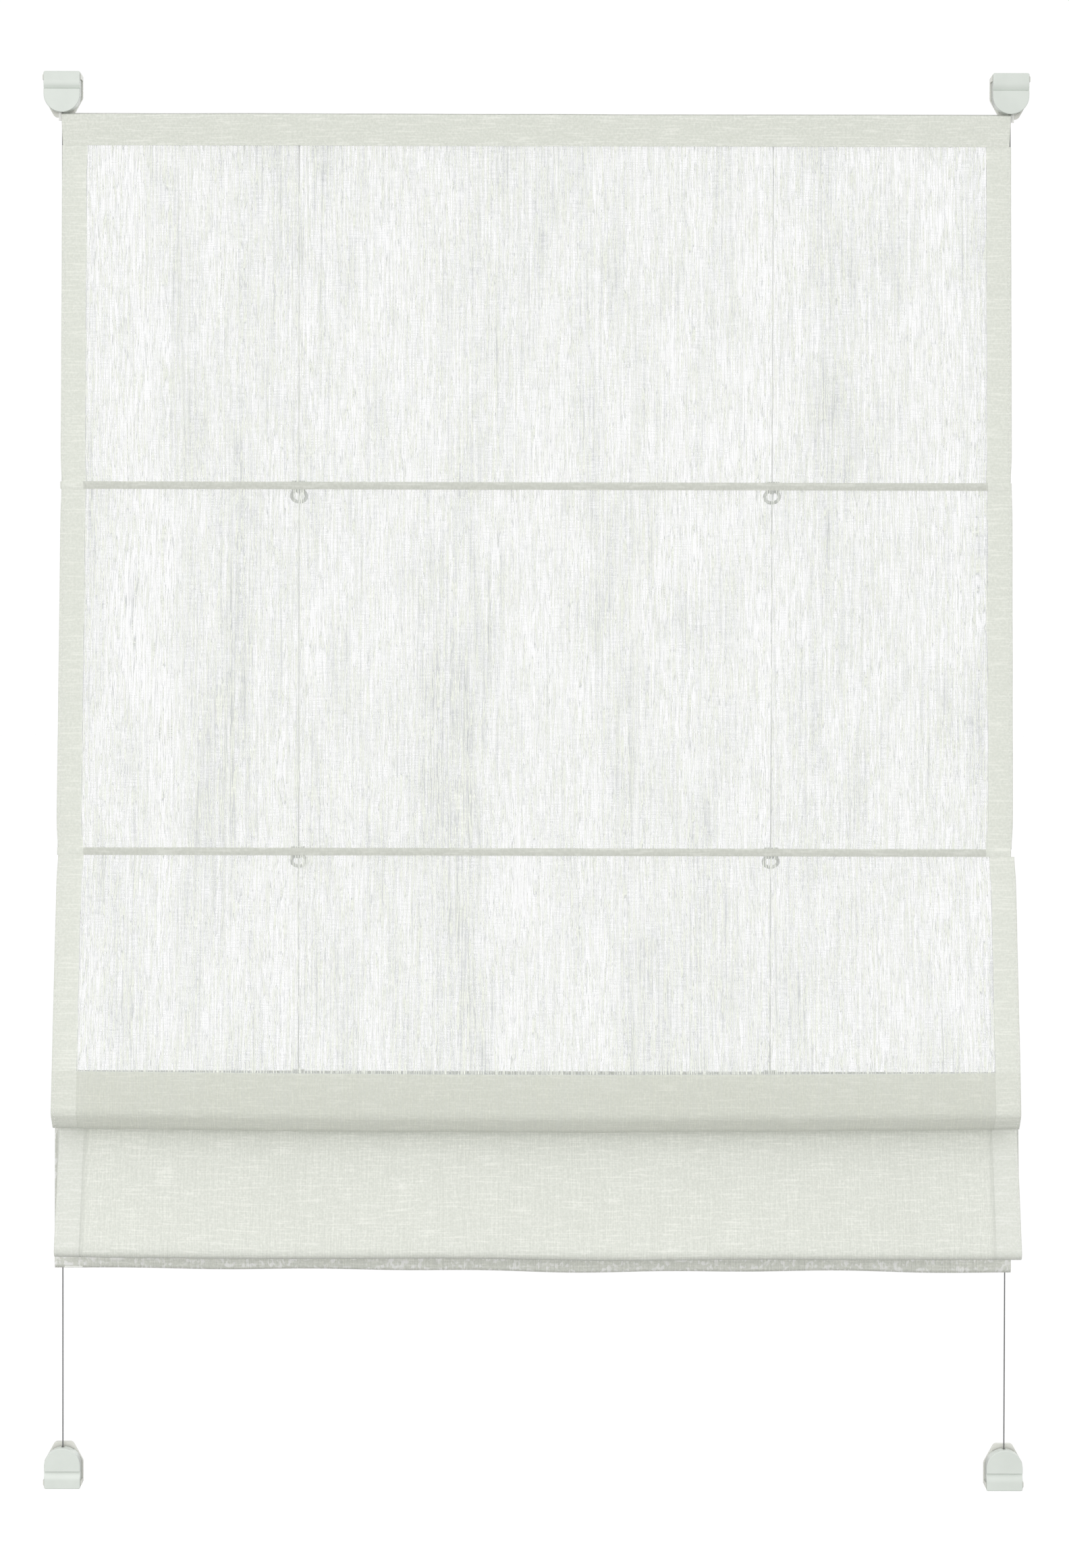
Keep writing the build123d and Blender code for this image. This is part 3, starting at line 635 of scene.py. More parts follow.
class Finishes(Enum):
    """Finishes of the moulded, metal and corded pieces."""

    # The cover's sides get painted shade, a darker colour on faces turned sideways.
    COVER = MouldedPlastic("cover_plastic", (0.622, 0.660, 0.617), (0.595, 0.633, 0.590), 0.34, 0.2,
                           side_shade=0.9, side_shade_colour=(0.36, 0.38, 0.35))
    BRACKET = MouldedPlastic("bracket_plastic", (0.66, 0.665, 0.615), (0.62, 0.625, 0.575), 0.42, 0.1)
    HOOK = MouldedPlastic("hook_plastic", (0.84, 0.85, 0.80), (0.79, 0.80, 0.75), 0.45)
    SHOE = MouldedPlastic("shoe_plastic", (0.78, 0.79, 0.76), (0.73, 0.74, 0.71), 0.5)
    CAP = MouldedPlastic("cap_plastic", (0.86, 0.86, 0.83), (0.81, 0.81, 0.78), 0.4)
    FITTING = MouldedPlastic("fitting_plastic", (0.86, 0.86, 0.83), (0.81, 0.81, 0.78), 0.4)
    RING = MouldedPlastic("ring_plastic", (0.62, 0.635, 0.585), (0.56, 0.575, 0.525), 0.36)
    TIP = MouldedPlastic("tip_plastic", (0.80, 0.81, 0.77), (0.75, 0.76, 0.72), 0.4)
    ROD = MouldedPlastic("stay_rod_fibre", (0.80, 0.81, 0.75), (0.73, 0.74, 0.68), 0.4, grain=2500.0)
    WIRE = DrawnMetal("wire_steel", (0.17, 0.172, 0.175), 0.42, (5000.0, 5000.0, 200.0))
    SCREW = DrawnMetal("screw_steel", (0.72, 0.72, 0.73), 0.28, (2500.0, 300.0, 2500.0))
    FERRULE = DrawnMetal("ferrule_metal", (0.68, 0.68, 0.69), 0.4)
    SPRING = DrawnMetal("spring_steel", (0.5, 0.51, 0.52), 0.3)
    RAIL = CoatedMetal("rail_coating", (0.86, 0.865, 0.85))
    BAR = CoatedMetal("bar_coating", (0.84, 0.845, 0.82))
    TAPE = TapeNap("fastening_tape", (0.86, 0.86, 0.82))
    CORD = BraidedCord("cord_fibre", (0.86, 0.87, 0.84))
    STITCH = BraidedCord("stitch_thread", (0.93, 0.935, 0.90), 0.0004)


# ---------------------------------------------------------------- mesh helpers


def add_piece(name: str, bm: bmesh.types.BMesh, finish: Finish) -> bpy.types.Object:
    """Makes a finished bmesh into a smooth object at the origin, with sharp rims where a sheet ends level.

    Args:
        name: The piece's name.
        bm: Its mesh, which is freed.
        finish: Its finish.

    Returns:
        The new object.
    """
    mesh = bpy.data.meshes.new(name)
    for face in bm.faces:
        face.smooth = True
    for edge in bm.edges:
        run = edge.verts[1].co - edge.verts[0].co
        if edge.is_boundary and abs(run.x) > 0.7 * run.length:
            edge.smooth = False
    bm.to_mesh(mesh)
    bm.free()
    mesh.materials.append(finish.material())
    piece = bpy.data.objects.new(name, mesh)
    bpy.context.scene.collection.objects.link(piece)
    return piece


def thicken(piece: bpy.types.Object) -> bpy.types.Object:
    """Gives a sheet the cloth's thickness, half to each side."""
    solid = piece.modifiers.new("thickness", "SOLIDIFY")
    solid.thickness = CLOTH_THICKNESS
    solid.offset = 0.0
    return piece


def map_cloth(layer: bmesh.types.BMLayerItem, spots: dict[bmesh.types.BMVert, tuple[float, float]]) -> None:
    """Writes the cloth's own map.

    Args:
        layer: The map's layer.
        spots: Each vertex's place on the flat cloth, in metres across from the middle and down from the top.
    """
    for face in {face for vert in spots for face in vert.link_faces}:
        for loop in face.loops:
            loop[layer].uv = spots[loop.vert]


def add_stitch(bm: bmesh.types.BMesh, place: Matrix, size: Sequence[float]) -> None:
    """Adds one stitch, a small flattened bead.

    Args:
        bm: The mesh that it is added to.
        place: Where it lies, and how it is turned.
        size: Its half sizes.
    """
    bmesh.ops.create_icosphere(bm, subdivisions=1, radius=1.0, matrix=place @ Matrix.Diagonal((*size, 1.0)))


def ease(low: float, high: float, value: float) -> float:
    """Smooth step from 0 at low to 1 at high."""
    share = min(max((value - low) / (high - low), 0.0), 1.0)
    return share * share * (3.0 - 2.0 * share)


def near_edges(share: float, columns: int, margin: float = 0.0015) -> float:
    """Brings the outermost inner columns of a grid close to its sides, so that only its rims are rounded off.

    Args:
        share: Where the column is, from 0 to 1.
        columns: How many faces the grid has across.
        margin: Where the outermost inner columns go.

    Returns:
        Where the column goes.
    """
    if abs(share - 1.0 / columns) < 1e-5:
        return margin
    if abs(share - 1.0 + 1.0 / columns) < 1e-5:
        return 1.0 - margin
    return share


@dataclass(frozen=True)
class Leg:
    """A straight run or a round turn of a path in the Y-Z plane."""

    start: Vector
    heading: float
    length: float
    bend: float

    def at(self, distance: float) -> tuple[Vector, float]:
        """Point and heading at a distance along the leg.

        Args:
            distance: Metres from the leg's start.

        Returns:
            The point as (y, z), and the heading as an angle.
        """
        if abs(self.bend) < 1e-9:
            step = Vector((math.cos(self.heading), math.sin(self.heading))) * distance
            return self.start + step, self.heading
        turned = self.heading + self.bend * distance
        step = Vector((math.sin(turned) - math.sin(self.heading), math.cos(self.heading) - math.cos(turned)))
        return self.start + step / self.bend, turned


@dataclass(frozen=True)
class ClothPath:
    """Section of a hanging cloth: points in the Y-Z plane, with a round turn at each inner one."""

    points: tuple[tuple[float, float], ...]
    radii: tuple[float, ...] = ()

    def legs(self) -> list[Leg]:
        """The path's runs and turns in order."""
        corners = [Vector(point) for point in self.points]
        found: list[Leg] = []
        start = corners[0]
        for before, corner, after, radius in zip(corners, corners[1:], corners[2:], self.radii):
            into = (corner - before).normalized()
            out = (after - corner).normalized()
            turn = math.atan2(into.x * out.y - into.y * out.x, into.dot(out))
            reach = radius * math.tan(abs(turn) / 2)
            heading = math.atan2(into.y, into.x)
            bend_start = corner - into * reach
            found.append(Leg(start, heading, (bend_start - start).length, 0.0))
            found.append(Leg(bend_start, heading, radius * abs(turn), math.copysign(1.0 / radius, turn)))
            start = corner + out * reach
        last = corners[-1] - start
        found.append(Leg(start, math.atan2(last.y, last.x), last.length, 0.0))
        return found


class CutLine:
    """A path measured along its length."""

    def __init__(self, path: ClothPath) -> None:
        """Measures the path's legs.

        Args:
            path: The cloth's section.
        """
        self.legs = path.legs()
        self.length = sum(leg.length for leg in self.legs)

    def at(self, distance: float) -> tuple[Vector, Vector]:
        """Point on the path and the direction that faces the room there.

        Args:
            distance: Metres along the cloth.

        Returns:
            The point and the unit normal, both as (y, z).
        """
        left = min(max(distance, 0.0), self.length)
        for leg in self.legs[:-1]:
            if left <= leg.length:
                break
            left -= leg.length
        else:
            leg = self.legs[-1]
        point, heading = leg.at(left)
        return point, Vector((math.sin(heading), -math.cos(heading)))


# ---------------------------------------------------------------- cloth


@dataclass
class ClothEdges:
    """Half widths of a panel, left and right, at its upper and lower end, drawn in where a stay holds it."""

    left: tuple[float, float]
    right: tuple[float, float]
    drawn_in: tuple[float, float] = (0.0, 0.0)
    reach: float = 0.014

    def half_width(self, side: int, share: float, length: float) -> float:
        """Half width at a share of the panel's length.

        Args:
            side: -1 for left, 1 for right.
            share: 0 at the upper end, 1 at the lower end.
            length: The panel's length.

        Returns:
            Metres from the middle.
        """
        upper, lower = self.left if side < 0 else self.right
        width = upper + (lower - upper) * share
        near_top = math.exp(-((share * length / self.reach) ** 2))
        near_end = math.exp(-(((1.0 - share) * length / self.reach) ** 2))
        return width - self.drawn_in[0] * near_top - self.drawn_in[1] * near_end


class Hold:
    """How a piece follows the blind's bodies."""

    def apply(self, piece: bpy.types.Object) -> None:
        """Fixes the piece to its bodies."""
        raise NotImplementedError


@dataclass(frozen=True)
class Ride(Hold):
    """A piece that moves with one body."""

    body: str

    def apply(self, piece: bpy.types.Object) -> None:
        """Fixes the piece to its body."""
        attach(piece, self.body)


@dataclass(frozen=True)
class Bend(Hold):
    """A piece that lies between two bodies; its placement is baked into its mesh and it is tied to neither."""

    bodies: tuple[str, str]
    start: Vector
    end: Vector

    def apply(self, piece: bpy.types.Object) -> None:
        """Bakes the piece's placement into its mesh; it is not fixed to a body."""
        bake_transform(piece)


@dataclass(frozen=True)
class Gather(Hold):
    """A piece that hangs from a body above a stay."""

    body: str
    joint: str
    top: Vector
    length: float
    travel: float

    def apply(self, piece: bpy.types.Object) -> None:
        """Fixes the piece to the upper body and gives it a mesh of its own."""
        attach(piece, self.body)
        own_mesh(piece)


@dataclass
class ClothPanel:
    """A stretch of the blind's cloth that follows a path, with its side hems and their stitching."""

    name: str
    path: ClothPath
    edges: ClothEdges
    map_start: float
    hem_width: float = 0.021
    columns: int = 96
    row_step: float = 0.006
    unevenness: float = 0.0005
    sag: Callable[[float, float], tuple[float, float]] = field(default=lambda across, along: (0.0, 0.0))
    cloth: Cloths = Cloths.SHEER
    seed: float = 0.0

    def __post_init__(self) -> None:
        """Measures the path."""
        self.line = CutLine(self.path)

    def point(self, across: float, along: float, behind: float = 0.0) -> Vector:
        """Where a point of the flat cloth hangs.

        Args:
            across: -1 at the left edge, 1 at the right edge.
            along: Metres down the cloth from the panel's upper end.
            behind: Metres behind the cloth's middle surface.

        Returns:
            The point in space.
        """
        share = along / self.line.length
        side = -1 if across < 0 else 1
        x = across * self.edges.half_width(side, share, self.line.length)
        spot, normal = self.line.at(along)
        fade = ease(0.0, 0.02, along) * ease(0.0, 0.02, self.line.length - along)
        wave = noise.noise(Vector((x * 9.0, along * 22.0, self.seed))) * 1.6
        wave += noise.noise(Vector((x * 3.0, along * 130.0, self.seed + 7.0))) * 0.45
        lift = self.unevenness * wave * fade - behind
        forward, down = self.sag(across, along)
        return Vector((x, spot.x + normal.x * lift - forward, spot.y + normal.y * lift - down))

    def sheet(self, name: str, span: tuple[float, float], columns: int, behind: float) -> bpy.types.Object:
        """A strip over the panel's whole length, as a thin closed mesh.

        Args:
            name: The piece's name.
            span: Its left and right edge, from -1 to 1 across the panel.
            columns: How many faces it has across.
            behind: How far it lies behind the cloth's middle surface.

        Returns:
            The strip.
        """
        count = max(2, round(self.line.length / self.row_step))
        bm = bmesh.new()
        layer = bm.loops.layers.uv.new(CLOTH_MAP)
        bmesh.ops.create_grid(bm, x_segments=columns, y_segments=count, size=0.5)
        flat = {}
        for vert in bm.verts:
            share = near_edges(vert.co.x + 0.5, columns) if columns > 8 else vert.co.x + 0.5
            across = span[0] + (span[1] - span[0]) * share
            along = self.line.length * (0.5 - vert.co.y)
            vert.co = self.point(across, along, behind)
            flat[vert] = (across * CLOTH_HALF, self.map_start + along)
        map_cloth(layer, flat)
        return thicken(add_piece(name, bm, self.cloth.value))

    def stitching(self) -> bpy.types.Object:
        """Short threads in a row down both side hems, on the cloth's face, as one piece."""
        bm = bmesh.new()
        inset, pitch = 0.0025, 0.0032
        count = int((self.line.length - 0.006) / pitch)
        for side in (-1, 1):
            across = side * (1.0 - inset / CLOTH_HALF)
            for number in range(count):
                along = 0.003 + (number + 0.5) * pitch
                spot = self.point(across, along, -0.5 * CLOTH_THICKNESS)
                ahead = self.point(across, along + 0.5 * pitch, -0.5 * CLOTH_THICKNESS) - spot
                turn = ahead.to_track_quat("Z", "Y").to_matrix().to_4x4()
                add_stitch(bm, Matrix.Translation(spot) @ turn, (0.00030, 0.00022, 0.31 * pitch))
        return add_piece(f"{self.name}_stitches", bm, Finishes.STITCH.value)

    def build(self, hold: Hold, held: str, flat: tuple[float, float], rests_on: Sequence[str],
              stands_for: str) -> None:
        """Makes the panel, its hems and its stitching, and applies its hold to each of them.

        Args:
            hold: How it follows the blind's bodies.
            held: How the cloth is held; not used.
            flat: Its flat width and length; not used.
            rests_on: What it hangs from; not used.
            stands_for: The CAD node that it replaces.
        """
        inner, outer = 1.0 - self.hem_width / CLOTH_HALF, 0.9995
        main = self.sheet(self.name, (-1.0, 1.0), self.columns, 0.0)
        gap = CLOTH_THICKNESS + 0.0001
        extras = [
            self.sheet(f"{self.name}_hem_left", (-outer, -inner), 5, gap),
            self.sheet(f"{self.name}_hem_right", (inner, outer), 5, gap),
            self.stitching(),
        ]
        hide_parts(stands_for)
        for piece in (main, *extras):
            hold.apply(piece)
        LOG.info("%s: %.1f mm of cloth", self.name, self.line.length * 1000)


@dataclass
class StayPocket:
    """The cloth band in front of a stay and the sewn sleeve that holds the rod behind it."""

    number: int
    z: float
    half: tuple[float, float]
    map_start: float
    mid_y: float
    rod_y: float
    sleeve_radius: float = 0.00245
    clip_x: float = 0.200
    clip_half: float = 0.0062
    sleeve_half: float = 0.3868

    def front(self, bm: bmesh.types.BMesh, layer: bmesh.types.BMLayerItem) -> None:
        """The band of cloth across the blind, slightly crowned over the rod.

        Args:
            bm: The mesh that it is added to.
            layer: The mesh's cloth map.
        """
        made = bmesh.ops.create_grid(bm, x_segments=96, y_segments=6, size=0.5)
        flat = {}
        for vert in made["verts"]:
            across, share = 2.0 * near_edges(vert.co.x + 0.5, 96) - 1.0, 0.5 - vert.co.y
            x = across * (self.half[0] if across < 0 else self.half[1])
            crown = 0.00035 * math.sin(math.pi * share)
            pucker = 0.0003 * noise.noise(Vector((x * 60.0, self.number, 0.0))) * math.sin(math.pi * share)
            vert.co = Vector((x, self.mid_y - crown - pucker, self.z + BAND_HEIGHT * (0.5 - share)))
            flat[vert] = (across * CLOTH_HALF, self.map_start + share * BAND_HEIGHT)
        map_cloth(layer, flat)

    def sleeve(self, bm: bmesh.types.BMesh, layer: bmesh.types.BMLayerItem) -> None:
        """The sewn tube in three lengths, open where the clips hold the rod.

        Args:
            bm: The mesh that it is added to.
            layer: The mesh's cloth map.
        """
        near, far = self.clip_x - self.clip_half, self.clip_x + self.clip_half
        before = set(bm.verts)
        for low, high in ((-self.sleeve_half, -far), (-near, near), (far, self.sleeve_half)):
            length = high - low
            place = Matrix.Translation((0.5 * (low + high), self.rod_y, self.z))
            place = place @ Matrix.Rotation(math.pi / 2, 4, "Y")
            made = bmesh.ops.create_cone(bm, cap_ends=False, segments=20, radius1=self.sleeve_radius,
                                         radius2=self.sleeve_radius, depth=length, matrix=place)
            lengthwise = [edge for edge in {e for v in made["verts"] for e in v.link_edges}
                          if abs(edge.verts[0].co.x - edge.verts[1].co.x) > 0.5 * length]
            bmesh.ops.subdivide_edges(bm, edges=lengthwise, cuts=max(2, round(length / 0.012)))
        flat = {}
        for vert in set(bm.verts) - before:
            angle = math.atan2(vert.co.z - self.z, vert.co.y - self.rod_y)
            pucker = noise.noise(Vector((vert.co.x * 120.0, angle, self.number)))
            out = Vector((0.0, vert.co.y - self.rod_y, vert.co.z - self.z)).normalized()
            if vert.co.y > self.rod_y:
                vert.co += out * 0.00012 * pucker
            round_rod = math.atan2(vert.co.z - self.z, self.rod_y - vert.co.y)
            flat[vert] = (vert.co.x, self.map_start + 0.4 + self.sleeve_radius * round_rod)
        map_cloth(layer, flat)

    def seam(self) -> bpy.types.Object:
        """The row of stitches that closes the sleeve under the rod, seen from behind."""
        bm = bmesh.new()
        z = self.z - self.sleeve_radius - 0.0002
        y = self.mid_y + 0.5 * CLOTH_THICKNESS
        x = -self.sleeve_half + 0.002
        while x < self.sleeve_half:
            if abs(abs(x) - self.clip_x) > self.clip_half:
                add_stitch(bm, Matrix.Translation((x, y, z)), (0.0011, 0.00018, 0.0002))
            x += 0.0036
        return add_piece(f"stay_{self.number}_seam", bm, Finishes.STITCH.value)

    def build(self) -> None:
        """Makes the band with its sleeve, and the seam, and fixes them to the stay's body."""
        bm = bmesh.new()
        layer = bm.loops.layers.uv.new(CLOTH_MAP)
        self.front(bm, layer)
        self.sleeve(bm, layer)
        bmesh.ops.recalc_face_normals(bm, faces=bm.faces)
        # The band's cloth carries painted shade in its colours.
        pocket = thicken(add_piece(f"stay_{self.number}_band", bm, Cloths.SHADED_STAY_BAND.value))
        seam = self.seam()
        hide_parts(f"stay_{self.number}_pocket")
        for piece in (pocket, seam):
            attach(piece, f"stay_{self.number}")


@dataclass
class HeadBand:
    """The cloth's head, turned over the rail's front and sewn down behind."""

    top_z: float
    height: float
    front_y: float
    back_y: float
    half: tuple[float, float] = (0.3996, 0.3994)
    slant: float = 0.0012

    def build(self) -> None:
        """Makes the doubled band and its seam, and fixes them to the rail's body."""
        inset = 0.5 * CLOTH_THICKNESS
        low = self.top_z - self.height
        front, back = self.front_y + inset, self.back_y - inset
        turn = 0.5 * (back - front) - 1e-6
        path = ClothPath(((front, low), (front, self.top_z - inset), (back, self.top_z - inset), (back, low)),
                         (turn, turn))
        line = CutLine(path)
        bm = bmesh.new()
        layer = bm.loops.layers.uv.new(CLOTH_MAP)
        bmesh.ops.create_grid(bm, x_segments=96, y_segments=26, size=0.5)
        flat = {}
        for vert in bm.verts:
            across, along = 2.0 * near_edges(vert.co.x + 0.5, 96) - 1.0, (vert.co.y + 0.5) * line.length
            side = self.half[0] if across < 0 else self.half[1]
            spot, _ = line.at(along)
            x = across * (side - self.slant * (self.top_z - spot.y) / self.height)
            drift = 0.00025 * noise.noise(Vector((x * 14.0, 3.0, spot.x * 50.0)))
            vert.co = Vector((x, spot.x, spot.y + drift * ease(low, self.top_z, spot.y)))
            flat[vert] = (across * CLOTH_HALF, 0.5 - along)
        map_cloth(layer, flat)
        bmesh.ops.recalc_face_normals(bm, faces=bm.faces)
        piece = thicken(add_piece("head_band", bm, Cloths.DOUBLED.value))
        seam = self.seam(low)
        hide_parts("cloth_head")
        for made in (piece, seam):
            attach(made, "root")

    def seam(self, low: float) -> bpy.types.Object:
        """The row of stitches along the band's lower edge."""
        bm = bmesh.new()
        x = -self.half[0] + 0.004
        while x < self.half[1] - 0.003:
            add_stitch(bm, Matrix.Translation((x, self.front_y - 0.00005, low + 0.0022)),
                       (0.0011, 0.00016, 0.0002))
            x += 0.0034
        return add_piece("head_band_seam", bm, Finishes.STITCH.value)


@dataclass
class BottomHem:
    """The cloth below the lowest stay, turned up round the bottom bar and sewn."""

    top_z: float
    low_z: float
    front_y: float
    back_y: float
    edges: ClothEdges
    map_start: float
    hem_height: float = 0.027

    def panel(self) -> ClothPanel:
        """The front of the cloth, round the bar and up behind it to the hem's seam."""
        inset = 0.5 * CLOTH_THICKNESS
        front, back = self.front_y + inset, self.back_y - inset
        low = self.low_z + inset
        path = ClothPath(
            ((front, self.top_z), (front, low), (back, low), (back, low + 0.86 * self.hem_height),
             (front + 0.0012, low + 0.985 * self.hem_height)),
            (0.0024, 0.0024, 0.006),
        )
        length = CutLine(path).length

        def sway(across: float, along: float) -> tuple[float, float]:
            """The lower edge's slight wave and drop to the right, which fade out up the cloth."""
            reach = ease(0.0, 0.11, along)
            down = 0.0007 * math.sin(7.0 * across + 0.8) + 0.0005 * math.sin(17.0 * across)
            return 0.0, reach * (down - 0.0008 + 0.0025 * ease(-1.0, -0.1, across))

        return ClothPanel("lower_flap", path, self.edges, self.map_start, unevenness=0.0003, sag=sway,
                          row_step=min(0.004, length / 30), seed=31.0, cloth=Cloths.LOWER_HEM)

    def build(self) -> None:
        """Makes the flap with its hem and side hems, and fixes them to the lowest stay's body."""
        panel = self.panel()
        panel.build(Ride("stay_4"), "hung", (2 * CLOTH_HALF, panel.line.length), ["stay_4_rod"], "cloth_flap")


# ---------------------------------------------------------------- cords


@dataclass
class LiftCords:
    """The left and right lift cord between the head rail and the rings."""

    diameter: float = 0.001

    def span(self, number: int, bodies: tuple[str, str], top: Vector, end: Vector) -> None:
        """Makes both cords' stretch above a stay.

        A stretch has vertices at its ends only, so that it stays straight and even between them.

        Args:
            number: The stay's number.
            bodies: The bodies above and below.
            top: Where the right cord's stretch starts.
            end: Where it ends.
        """
        bm = bmesh.new()
        for side in (-1, 1):
            high = Vector((side * top.x, top.y, top.z))
            low = Vector((side * end.x, end.y, end.z))
            down = low - high
            turn = down.to_track_quat("Z", "Y").to_matrix().to_4x4()
            place = Matrix.Translation(0.5 * (high + low)) @ turn
            bmesh.ops.create_cone(bm, cap_ends=True, segments=10, radius1=0.5 * self.diameter,
                                  radius2=0.5 * self.diameter, depth=down.length, matrix=place)
        piece = add_piece(f"lift_cord_span_{number}", bm, Finishes.CORD.value)
        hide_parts(f"lift_cords_{number}")
        Bend(bodies, top, Vector((top.x, top.y, end.z))).apply(piece)


# ---------------------------------------------------------------- the whole blind


@dataclass
class RomanBlind:
    """The blind: what the CAD frame gives, dressed, and the cloth and cords made new."""

    frame: dict
    cloth_mid_y: float = -0.0109
    travels: tuple[float, float] = (0.276, 0.294)
    fold_radius: float = 0.0065

    def node_finish(self, node: str) -> Optional[Finishes]:
        """The finish of a CAD node that stays.

        Args:
            node: The node's name.

        Returns:
            Its finish, or None where a new piece stands for it.
        """
        endings = {
            "_cover": Finishes.COVER, "_bracket": Finishes.BRACKET, "_hook": Finishes.HOOK,
            "_shoe": Finishes.SHOE, "_rod": Finishes.ROD, "_ring_clips": Finishes.RING, "_tips": Finishes.TIP,
        }
        names = {
            "clamp_screws": Finishes.SCREW, "side_wire_left": Finishes.WIRE, "side_wire_right": Finishes.WIRE,
            "wire_ferrules": Finishes.FERRULE, "tension_springs": Finishes.SPRING, "head_rail": Finishes.RAIL,
            "rail_cap_left": Finishes.CAP, "rail_cap_right": Finishes.CAP, "loop_tape": Finishes.TAPE,
            "hook_tape": Finishes.TAPE, "cord_guides": Finishes.FITTING, "cord_cleat": Finishes.FITTING,
            "rail_cords": Finishes.CORD, "bottom_bar": Finishes.BAR, "cord_stops": Finishes.RING,
        }
        if node in names:
            return names[node]
        return next((finish for ending, finish in endings.items() if node.endswith(ending)), None)

    def dress_frame(self) -> None:
        """Gives every CAD node that stays its finish."""
        for name, piece in self.frame["nodes"].items():
            finish = self.node_finish(name)
            if finish is None:
                continue
            material = finish.value.material()
            for slot in piece.material_slots:
                slot.material = material
            LOG.info("%s dressed in %s", name, material.name)

    def stay_heights(self) -> list[float]:
        """Heights of the four stays' centre lines."""
        return [0.5 * (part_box(f"stay_{n}_rod")[0][2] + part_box(f"stay_{n}_rod")[1][2]) for n in range(1, 5)]

    def flat_panel(self, number: int, top: float, low: float, edges: ClothEdges, map_start: float) -> None:
        """A panel that hangs flat between two heights.

        Args:
            number: The panel's number.
            top: Its upper edge.
            low: Its lower edge.
            edges: Its half widths.
            map_start: How far down the cloth it starts.
        """
        mid = self.cloth_mid_y
        path = ClothPath(((mid, top), (mid, low)))
        above, hangs_from = ("root", "head_rail") if number == 1 else (
            f"stay_{number - 1}", f"stay_{number - 1}_rod")
        panel = ClothPanel(f"panel_{number}", path, edges, map_start, seed=3.0 * number)
        hold = Gather(above, f"stay_{number}_lift", Vector((0.0, mid, top)), top - low,
                      self.travels[number - 1])
        panel.build(hold, "hung", (2 * CLOTH_HALF, top - low), [hangs_from, f"stay_{number}_rod"],
                    f"cloth_panel_{number}")

    def folded_panel(self, number: int, upper: float, lower: float, forward: float, fold_z: float,
                     edges: ClothEdges, map_start: float, share_at_fold: float, sag: Callable,
                     crease: tuple[float, float] = (0.0, 0.0), cloth: Cloths = Cloths.SHEER) -> None:
        """A panel whose fold hangs in front of the stays.

        Args:
            number: The panel's number.
            upper: Height of the stay above.
            lower: Height of the stay below.
            forward: How far the fold stands in front of the stays.
            fold_z: Height of the fold's lowest point.
            edges: Its half widths.
            map_start: How far down the cloth it starts.
            share_at_fold: How much of the lower stay's travel the fold follows.
            sag: Forward and downward drift of the cloth.
            crease: How far in front of the fold's bottom, and above it, its front is creased.
            cloth: The cloth's finish.
        """
        mid = self.cloth_mid_y
        top, end, crest = upper - 0.5 * BAND_HEIGHT, lower + 0.5 * BAND_HEIGHT, lower + 0.0040
        front = mid - forward
        points = [(mid, top), (front, fold_z), (front + 0.016, fold_z), (mid - 0.0030, crest), (mid, crest),
                  (mid, end)]
        radii = [self.fold_radius, self.fold_radius, 0.0006, 0.0006]
        if crease[1] > 0.0:
            points[1:3] = [(front, fold_z + crease[1]), (front + crease[0], fold_z), (front + 0.016, fold_z)]
            radii[:2] = [0.0025, 0.0035, 0.0035]
        if upper - lower < 0.03:
            points.insert(1, (mid - 0.028, top - 0.020))
            radii.insert(0, 0.006)
        path = ClothPath(tuple(points), tuple(radii))
        panel = ClothPanel(f"panel_{number}", path, edges, map_start, sag=sag, seed=5.0 * number,
                           unevenness=0.0007, row_step=0.004, cloth=cloth)
        drop, depth = top - end, top - fold_z
        slope = ((depth / drop) - share_at_fold) / forward if share_at_fold < 1.0 else 0.0
        gradient = Vector((0.0, slope, -1.0 / drop))
        start = Vector((0.0, mid, top))
        hold = Bend((f"stay_{number - 1}", f"stay_{number}"), start, start + gradient / gradient.length_squared)
        panel.build(hold, "folded", (2 * CLOTH_HALF, panel.line.length),
                    [f"stay_{number - 1}_rod", f"stay_{number}_rod"], f"cloth_panel_{number}")

    def hang_cloth(self) -> None:
        """Makes the cloth from head band to bottom hem."""
        heights = self.stay_heights()
        above, below = ([z + side * 0.5 * BAND_HEIGHT for z in heights] for side in (1, -1))
        head_low, head_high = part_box("cloth_head")
        HeadBand(head_high[2], head_high[2] - head_low[2], head_low[1], head_high[1]).build()
        self.flat_panel(1, head_low[2], above[0],
                        ClothEdges((0.3988, 0.4004), (0.3994, 0.4014), (0.0, 0.0010)), 0.027)
        self.flat_panel(2, below[0], above[1],
                        ClothEdges((0.4002, 0.4040), (0.4020, 0.4038), (0.0006, 0.0012)), 0.316)

        def upper_sag(across: float, along: float) -> tuple[float, float]:
            """The upper fold hangs lowest in its middle."""
            bump = ease(0.08, 0.21, along) * ease(0.0, 0.06, 0.302 - along)
            return 0.0, 0.0028 * bump * math.cos(0.5 * math.pi * across)

        def lower_sag(across: float, along: float) -> tuple[float, float]:
            """The lower fold waves a little along its bottom."""
            bump = ease(0.02, 0.13, along) * ease(0.0, 0.08, 0.302 - along)
            return 0.0, bump * (0.0012 * math.cos(0.5 * math.pi * across) + 0.0005 * math.sin(9.0 * across))

